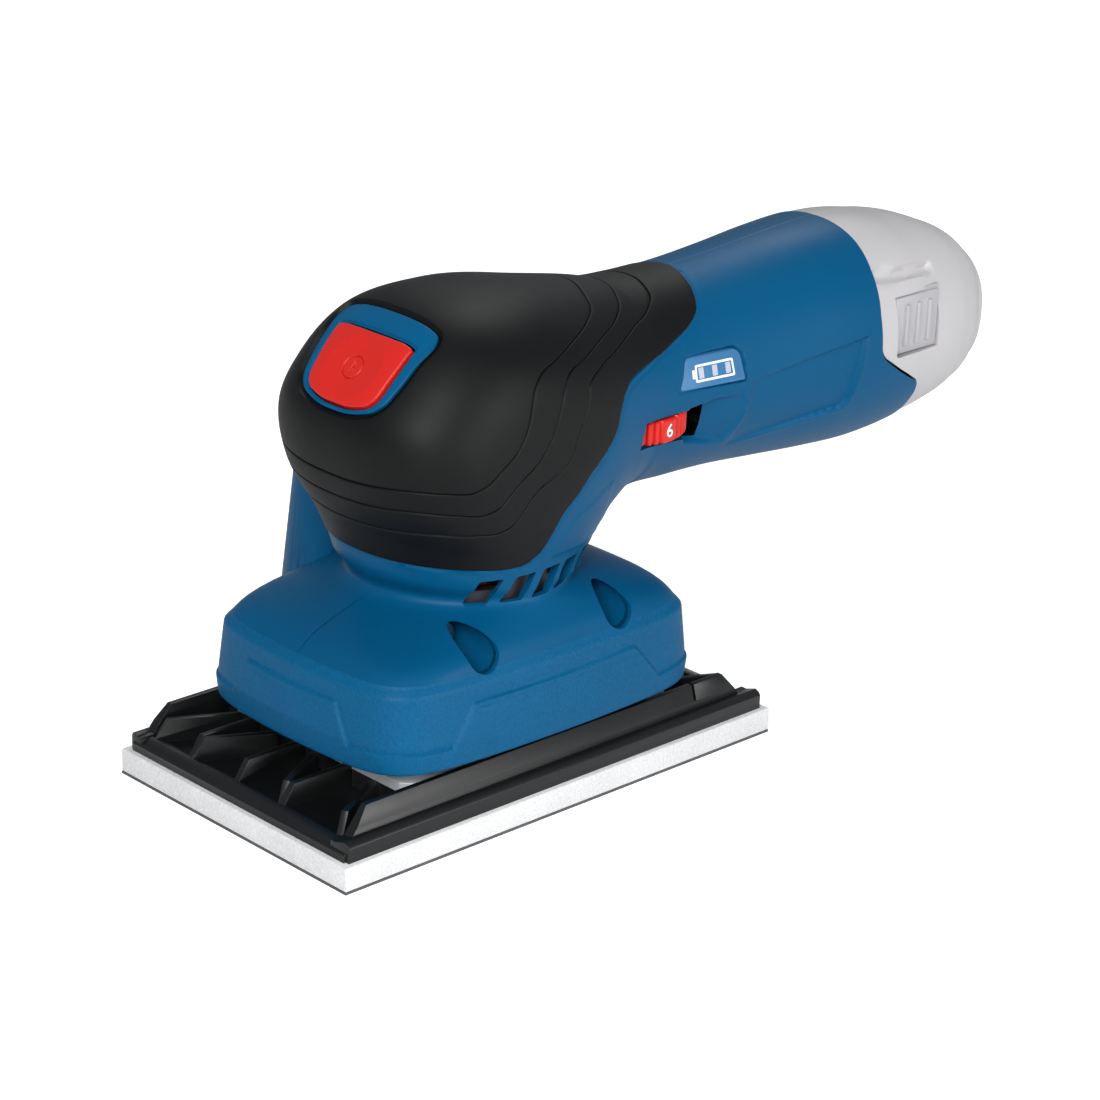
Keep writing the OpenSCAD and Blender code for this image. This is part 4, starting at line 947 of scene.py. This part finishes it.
def grain_group():
    """Moulded grain: colour that varies softly, fine bumps and slightly varied gloss."""
    g = bpy.data.node_groups.new("moulded_grain", "ShaderNodeTree")
    for name, kind in (("Light", "NodeSocketColor"), ("Dark", "NodeSocketColor")):
        g.interface.new_socket(name=name, in_out="INPUT", socket_type=kind)
    for name, value in (("Grain size", 1.0), ("Patch size", 1.0), ("Grain", 0.5)):
        s = g.interface.new_socket(name=name, in_out="INPUT", socket_type="NodeSocketFloat")
        s.default_value = value
    g.interface.new_socket(name="Color", in_out="OUTPUT", socket_type="NodeSocketColor")
    g.interface.new_socket(name="Height", in_out="OUTPUT", socket_type="NodeSocketFloat")
    g.interface.new_socket(name="Gloss", in_out="OUTPUT", socket_type="NodeSocketFloat")
    n, link = g.nodes.new, g.links.new
    inp, out = n("NodeGroupInput"), n("NodeGroupOutput")
    place = n("ShaderNodeTexCoord")
    fine, patch = n("ShaderNodeTexNoise"), n("ShaderNodeTexNoise")
    fine.inputs["Detail"].default_value = 3
    fine.inputs["Roughness"].default_value = 0.65
    patch.inputs["Detail"].default_value = 4
    link(place.outputs["Object"], fine.inputs["Vector"])
    link(place.outputs["Object"], patch.inputs["Vector"])
    link(inp.outputs["Grain size"], fine.inputs["Scale"])
    link(inp.outputs["Patch size"], patch.inputs["Scale"])
    centred, scaled, both = n("ShaderNodeMath"), n("ShaderNodeMath"), n("ShaderNodeMath")
    centred.operation, scaled.operation, both.operation = "SUBTRACT", "MULTIPLY", "ADD"
    centred.inputs[1].default_value = 0.5
    link(fine.outputs["Fac"], centred.inputs[0])
    link(centred.outputs[0], scaled.inputs[0])
    link(inp.outputs["Grain"], scaled.inputs[1])
    link(scaled.outputs[0], both.inputs[0])
    link(patch.outputs["Fac"], both.inputs[1])
    mix = n("ShaderNodeMix")
    mix.data_type = "RGBA"
    link(both.outputs[0], mix.inputs["Factor"])
    link(inp.outputs["Dark"], mix.inputs["A"])
    link(inp.outputs["Light"], mix.inputs["B"])
    link(mix.outputs["Result"], out.inputs["Color"])
    link(fine.outputs["Fac"], out.inputs["Height"])
    gloss = n("ShaderNodeMapRange")
    gloss.inputs["From Min"].default_value, gloss.inputs["From Max"].default_value = 0.3, 0.7
    gloss.inputs["To Min"].default_value, gloss.inputs["To Max"].default_value = -0.05, 0.05
    link(patch.outputs["Fac"], gloss.inputs["Value"])
    link(gloss.outputs["Result"], out.inputs["Gloss"])
    return g


GRAIN = grain_group()


def finish_of(name, light, dark, roughness, grain_size=2500, patch_size=30, grain=0.6, bump=0.15, depth=0.05,
              metallic=0.0, specular=0.5):
    """A moulded, cast or rolled finish built on the shared grain."""
    m = bpy.data.materials.new(name)
    m.use_nodes = True
    t = m.node_tree
    shader = t.nodes["Principled BSDF"]
    g = t.nodes.new("ShaderNodeGroup")
    g.node_tree = GRAIN
    g.inputs["Light"].default_value, g.inputs["Dark"].default_value = srgb(*light), srgb(*dark)
    g.inputs["Grain size"].default_value, g.inputs["Patch size"].default_value = grain_size, patch_size
    g.inputs["Grain"].default_value = grain
    t.links.new(g.outputs["Color"], shader.inputs["Base Color"])
    rough = t.nodes.new("ShaderNodeMath")
    rough.operation = "ADD"
    rough.inputs[1].default_value = roughness
    t.links.new(g.outputs["Gloss"], rough.inputs[0])
    t.links.new(rough.outputs[0], shader.inputs["Roughness"])
    b = t.nodes.new("ShaderNodeBump")
    b.inputs["Strength"].default_value, b.inputs["Distance"].default_value = bump, depth * MM
    t.links.new(g.outputs["Height"], b.inputs["Height"])
    t.links.new(b.outputs["Normal"], shader.inputs["Normal"])
    shader.inputs["Metallic"].default_value = metallic
    shader.inputs["Specular IOR Level"].default_value = specular
    return m


# One blue plastic in two tones: the shell's blue is painted darker as painted shade on its upward faces, and
# the skirt's sparked blue is painted lighter as painted light on its walls. The skirt's coarser grain and
# mottle are real.
SHADED_BLUE = finish_of("moulded_blue_shaded", (0, 79, 120), (0, 73, 112),
                 0.42, 3200, 25, 0.8, 0.35, 0.06, specular=0.12)
LIT_SPARKED_BLUE = finish_of("sparked_blue_lit", (1, 88, 132), (0, 73, 111),
                        0.48, 1500, 25, 2.2, 0.5, 0.12, specular=0.15)
BLUE_LIGHT = finish_of("display_blue", (58, 112, 156), (52, 105, 149),
                       0.4, 3200, 40, 0.6, 0.2, 0.04, specular=0.25)
BLUE_FRAME = finish_of("frame_blue", (0, 86, 130), (0, 80, 121),
                       0.38, 3200, 40, 0.6, 0.25, 0.04, specular=0.12)
GRIP = finish_of("soft_black", (9, 10, 11), (6, 7, 8), 0.52, 2600, 30, 0.7, 0.4, 0.05, specular=0.2)
RED = finish_of("button_red", (205, 37, 30), (197, 33, 26),
                0.36, 3000, 40, 0.5, 0.15, 0.03, specular=0.3)
PLATE = finish_of("plate_black", (13, 14, 15), (9, 10, 11), 0.36, 1800, 30, 0.7, 0.3, 0.05)
FOAM = finish_of("foam_grey", (226, 226, 226), (200, 200, 200),
                 0.85, 1500, 60, 2.2, 0.8, 0.2, specular=0.2)
HOOKS = finish_of("hook_grey", (92, 93, 96), (70, 71, 74), 0.9, 2600, 60, 1.5, 0.8, 0.2)
CAST = finish_of("cast_silver", (214, 219, 221), (196, 202, 205),
                 0.4, 1600, 40, 0.8, 0.4, 0.05, metallic=0.25)
LAMP = finish_of("lamp_frosted", (186, 190, 206), (172, 176, 194), 0.3, 1800, 90, 0.6, 0.2, 0.04)
PALE = finish_of("battery_pale", (184, 182, 184), (176, 174, 176), 0.45, 2800, 30, 0.6, 0.25, 0.05)
PALE_DARK = finish_of("battery_grey", (170, 169, 172), (162, 161, 164),
                      0.45, 2800, 30, 0.6, 0.25, 0.05)
WHITE = finish_of("print_white", (238, 240, 242), (230, 232, 235), 0.45, 3000, 60, 0.3, 0.1, 0.02)
DARK = finish_of("moulded_dark", (48, 50, 54), (38, 40, 43), 0.5, 2600, 40, 0.7, 0.3, 0.05)
STEEL = finish_of("ground_steel", (186, 189, 193), (160, 163, 167),
                  0.3, 2200, 40, 0.9, 0.3, 0.03, metallic=1.0)
SHEETS = finish_of("stacked_steel", (150, 152, 156), (120, 122, 126),
                   0.42, 1800, 60, 1.2, 0.4, 0.05, metallic=0.9)
COPPER = finish_of("wound_copper", (196, 112, 58), (160, 84, 40),
                   0.32, 1400, 80, 1.4, 0.6, 0.1, metallic=0.9)
BRASS = finish_of("plated_brass", (212, 178, 92), (190, 154, 70),
                  0.28, 2400, 60, 0.8, 0.2, 0.03, metallic=1.0)
BOARD = finish_of("board_green", (14, 40, 22), (10, 32, 17), 0.4, 2400, 60, 0.8, 0.2, 0.03)
WRAP = finish_of("cell_wrap", (78, 146, 122), (66, 130, 108), 0.32, 2400, 40, 0.5, 0.1, 0.02)
SHEATH = finish_of("lead_sheath", (50, 52, 56), (42, 44, 47), 0.5, 2400, 60, 0.5, 0.2, 0.03)


def paint(obj, material):
    obj.data.materials.clear()
    obj.data.materials.append(material)
    return obj


def fitted(obj, material, body, slot, *nodes):
    """Gives a piece its finish and its body. The slot is not used."""
    paint(obj, material)
    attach(obj, body)
    if nodes:
        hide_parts(*nodes)
    return obj


# ------------------------------------------------------------------ the sander

shell_right, shell_left = make_shells()
fitted(shell_right, SHADED_BLUE, "housing", "body_blue", "housing_right")
fitted(shell_left, SHADED_BLUE, "housing", "body_blue", "housing_left")
fitted(make_skirt(), LIT_SPARKED_BLUE, "housing", "body_blue")
for cup in make_well_cups():
    fitted(cup, SHADED_BLUE, "housing", "body_blue")
fitted(make_grip(), GRIP, "housing", "grip_rubber", "soft_grip")
fitted(make_bezel(), BLUE_FRAME, "housing", "body_blue", "switch_bezel")
fitted(make_button(), RED, "button", "control_red", "switch_button")
plate, outline, lamps = make_display()
fitted(plate, BLUE_LIGHT, "housing", "body_blue", "charge_display")
fitted(outline, WHITE, "housing", "battery_light")
for k, lamp in enumerate(lamps):
    fitted(lamp, LAMP, "housing", "lamp", *(["charge_lights"] if k == 0 else []))
wheel, figures = make_dial()
fitted(wheel, RED, "dial", "control_red", "speed_dial")
for figure in figures:
    fitted(figure, WHITE, "dial", "battery_light")
fitted(make_battery(), PALE, "battery", "battery_light", "battery_cap")
fitted(refined("battery_key_right", 0.25), PALE_DARK, "key_right", "battery_light")
fitted(refined("battery_key_left", 0.25), PALE_DARK, "key_left", "battery_light")
fitted(refined("sanding_plate", 0.3), PLATE, "sole", "plate_black")
fitted(refined("carrier_plate", 0.25), CAST, "sole", "carrier_metal")
fitted(refined("dust_outlet", 0.0), SHADED_BLUE, "housing", "body_blue")
foam = fitted(make_foam(), FOAM, "sole", "foam", "foam_pad")

CAD_FINISH = {
    "hook_layer": HOOKS, "housing_screws": STEEL, "button_spring": STEEL, "switch_unit": DARK,
    "dial_potentiometer": DARK, "control_board": BOARD, "board_capacitors": SHEATH, "terminal_block": DARK,
    "contact_blades": BRASS, "motor_leads": SHEATH, "motor_frame": DARK, "motor_stator": SHEETS,
    "stator_windings": COPPER, "lower_bearing": STEEL, "upper_bearing": STEEL, "bearing_bracket": DARK,
    "bracket_screws": STEEL, "fan_shroud": DARK, "rotor_shaft": STEEL, "rotor_core": SHEETS,
    "rotor_magnets": DARK, "fan": DARK, "counterweight": SHEETS, "eccentric": STEEL, "eccentric_screw": STEEL,
    "plate_bearing": STEEL, "elastic_posts": GRIP, "post_screws": STEEL, "carrier_screws": STEEL,
    "battery_stem": PALE_DARK, "battery_cells": WRAP, "battery_contacts": BRASS, "key_spring_right": STEEL,
    "key_spring_left": STEEL,
}
for node, material in CAD_FINISH.items():
    paint(frame["nodes"][node], material)

# ------------------------------------------------------------------ floor, light and camera


FLOOR_GLOW, WORLD_LIGHT = 0.55, 0.27


def make_stage():
    """A pale floor that the camera sees a little brighter than it is lit."""
    bpy.ops.object.select_all(action="DESELECT")
    bpy.ops.mesh.primitive_plane_add(size=6)
    floor = named("floor")
    m = bpy.data.materials.new("pale_floor")
    m.use_nodes = True
    t = m.node_tree
    shader = t.nodes["Principled BSDF"]
    shader.inputs["Base Color"].default_value = (0.9, 0.9, 0.9, 1)
    shader.inputs["Roughness"].default_value = 0.9
    shader.inputs["Specular IOR Level"].default_value = 0.0
    glow, path = t.nodes.new("ShaderNodeEmission"), t.nodes.new("ShaderNodeLightPath")
    add = t.nodes.new("ShaderNodeAddShader")
    lift = t.nodes.new("ShaderNodeMath")
    lift.operation = "MULTIPLY"
    lift.inputs[1].default_value = FLOOR_GLOW
    t.links.new(path.outputs["Is Camera Ray"], lift.inputs[0])
    t.links.new(lift.outputs[0], glow.inputs["Strength"])
    t.links.new(shader.outputs[0], add.inputs[0])
    t.links.new(glow.outputs[0], add.inputs[1])
    t.links.new(add.outputs[0], t.nodes["Material Output"].inputs["Surface"])
    floor.data.materials.append(m)


def make_world():
    """Soft light from all sides, and white behind the object."""
    world = bpy.data.worlds.new("studio")
    bpy.context.scene.world = world
    world.use_nodes = True
    t = world.node_tree
    back = t.nodes["Background"]
    seen, path, mix = (t.nodes.new("ShaderNode" + k) for k in ("Background", "LightPath", "MixShader"))
    back.inputs["Color"].default_value = (0.92, 0.95, 1.0, 1)
    back.inputs["Strength"].default_value = WORLD_LIGHT
    seen.inputs["Color"].default_value = (1, 1, 1, 1)
    seen.inputs["Strength"].default_value = 1.0
    t.links.new(path.outputs["Is Camera Ray"], mix.inputs["Fac"])
    t.links.new(back.outputs[0], mix.inputs[1])
    t.links.new(seen.outputs[0], mix.inputs[2])
    t.links.new(mix.outputs[0], t.nodes["World Output"].inputs["Surface"])


def add_lamp(name, place, power, size, aim=(0, 20, 60)):
    light = bpy.data.lights.new(name, "AREA")
    light.shape, light.size, light.energy = "DISK", size, power
    obj = bpy.data.objects.new(name, light)
    bpy.context.scene.collection.objects.link(obj)
    obj.location = Vector(place)
    obj.rotation_mode = "QUATERNION"
    obj.rotation_quaternion = (Vector(aim) * MM - obj.location).to_track_quat("-Z", "Y")


# degrees, then millimetres from a point over the sole's centre, then the lens for a 36 mm sensor
CAMERA_TURN, CAMERA_RISE, CAMERA_ROLL = 45.759, 21.285, 1.963
CAMERA_RIGHT, CAMERA_UP, CAMERA_FAR = 21.253, -8.238, 745.579
SENSOR, LENS = 36, 106.39636


def make_camera():
    a, e, r = (math.radians(v) for v in (CAMERA_TURN, CAMERA_RISE, CAMERA_ROLL))
    back = Vector((math.sin(a) * math.cos(e), -math.cos(a) * math.cos(e), math.sin(e)))
    level = Vector((math.cos(a), math.sin(a), 0))
    upright = back.cross(level)
    right = level * math.cos(r) + upright * math.sin(r)
    up = -level * math.sin(r) + upright * math.cos(r)
    aim = Vector((0, 0, 60)) + right * CAMERA_RIGHT + up * CAMERA_UP
    data = bpy.data.cameras.new("camera")
    data.sensor_width, data.lens = SENSOR, LENS
    data.clip_start, data.clip_end = 0.05, 20
    obj = bpy.data.objects.new("camera", data)
    bpy.context.scene.collection.objects.link(obj)
    turn = Matrix((right, up, back)).transposed().to_4x4()
    obj.matrix_world = Matrix.Translation((aim + back * CAMERA_FAR) * MM) @ turn
    bpy.context.scene.camera = obj


make_stage()
make_world()
add_lamp("front", (0.75, -1.0, 0.9), 22, 0.9)
add_lamp("side", (1.3, 0.35, 0.35), 9, 0.7)
add_lamp("left_rim", (-0.6, 0.8, 1.1), 4, 0.6)
make_camera()
bpy.context.scene.view_settings.view_transform = "Standard"
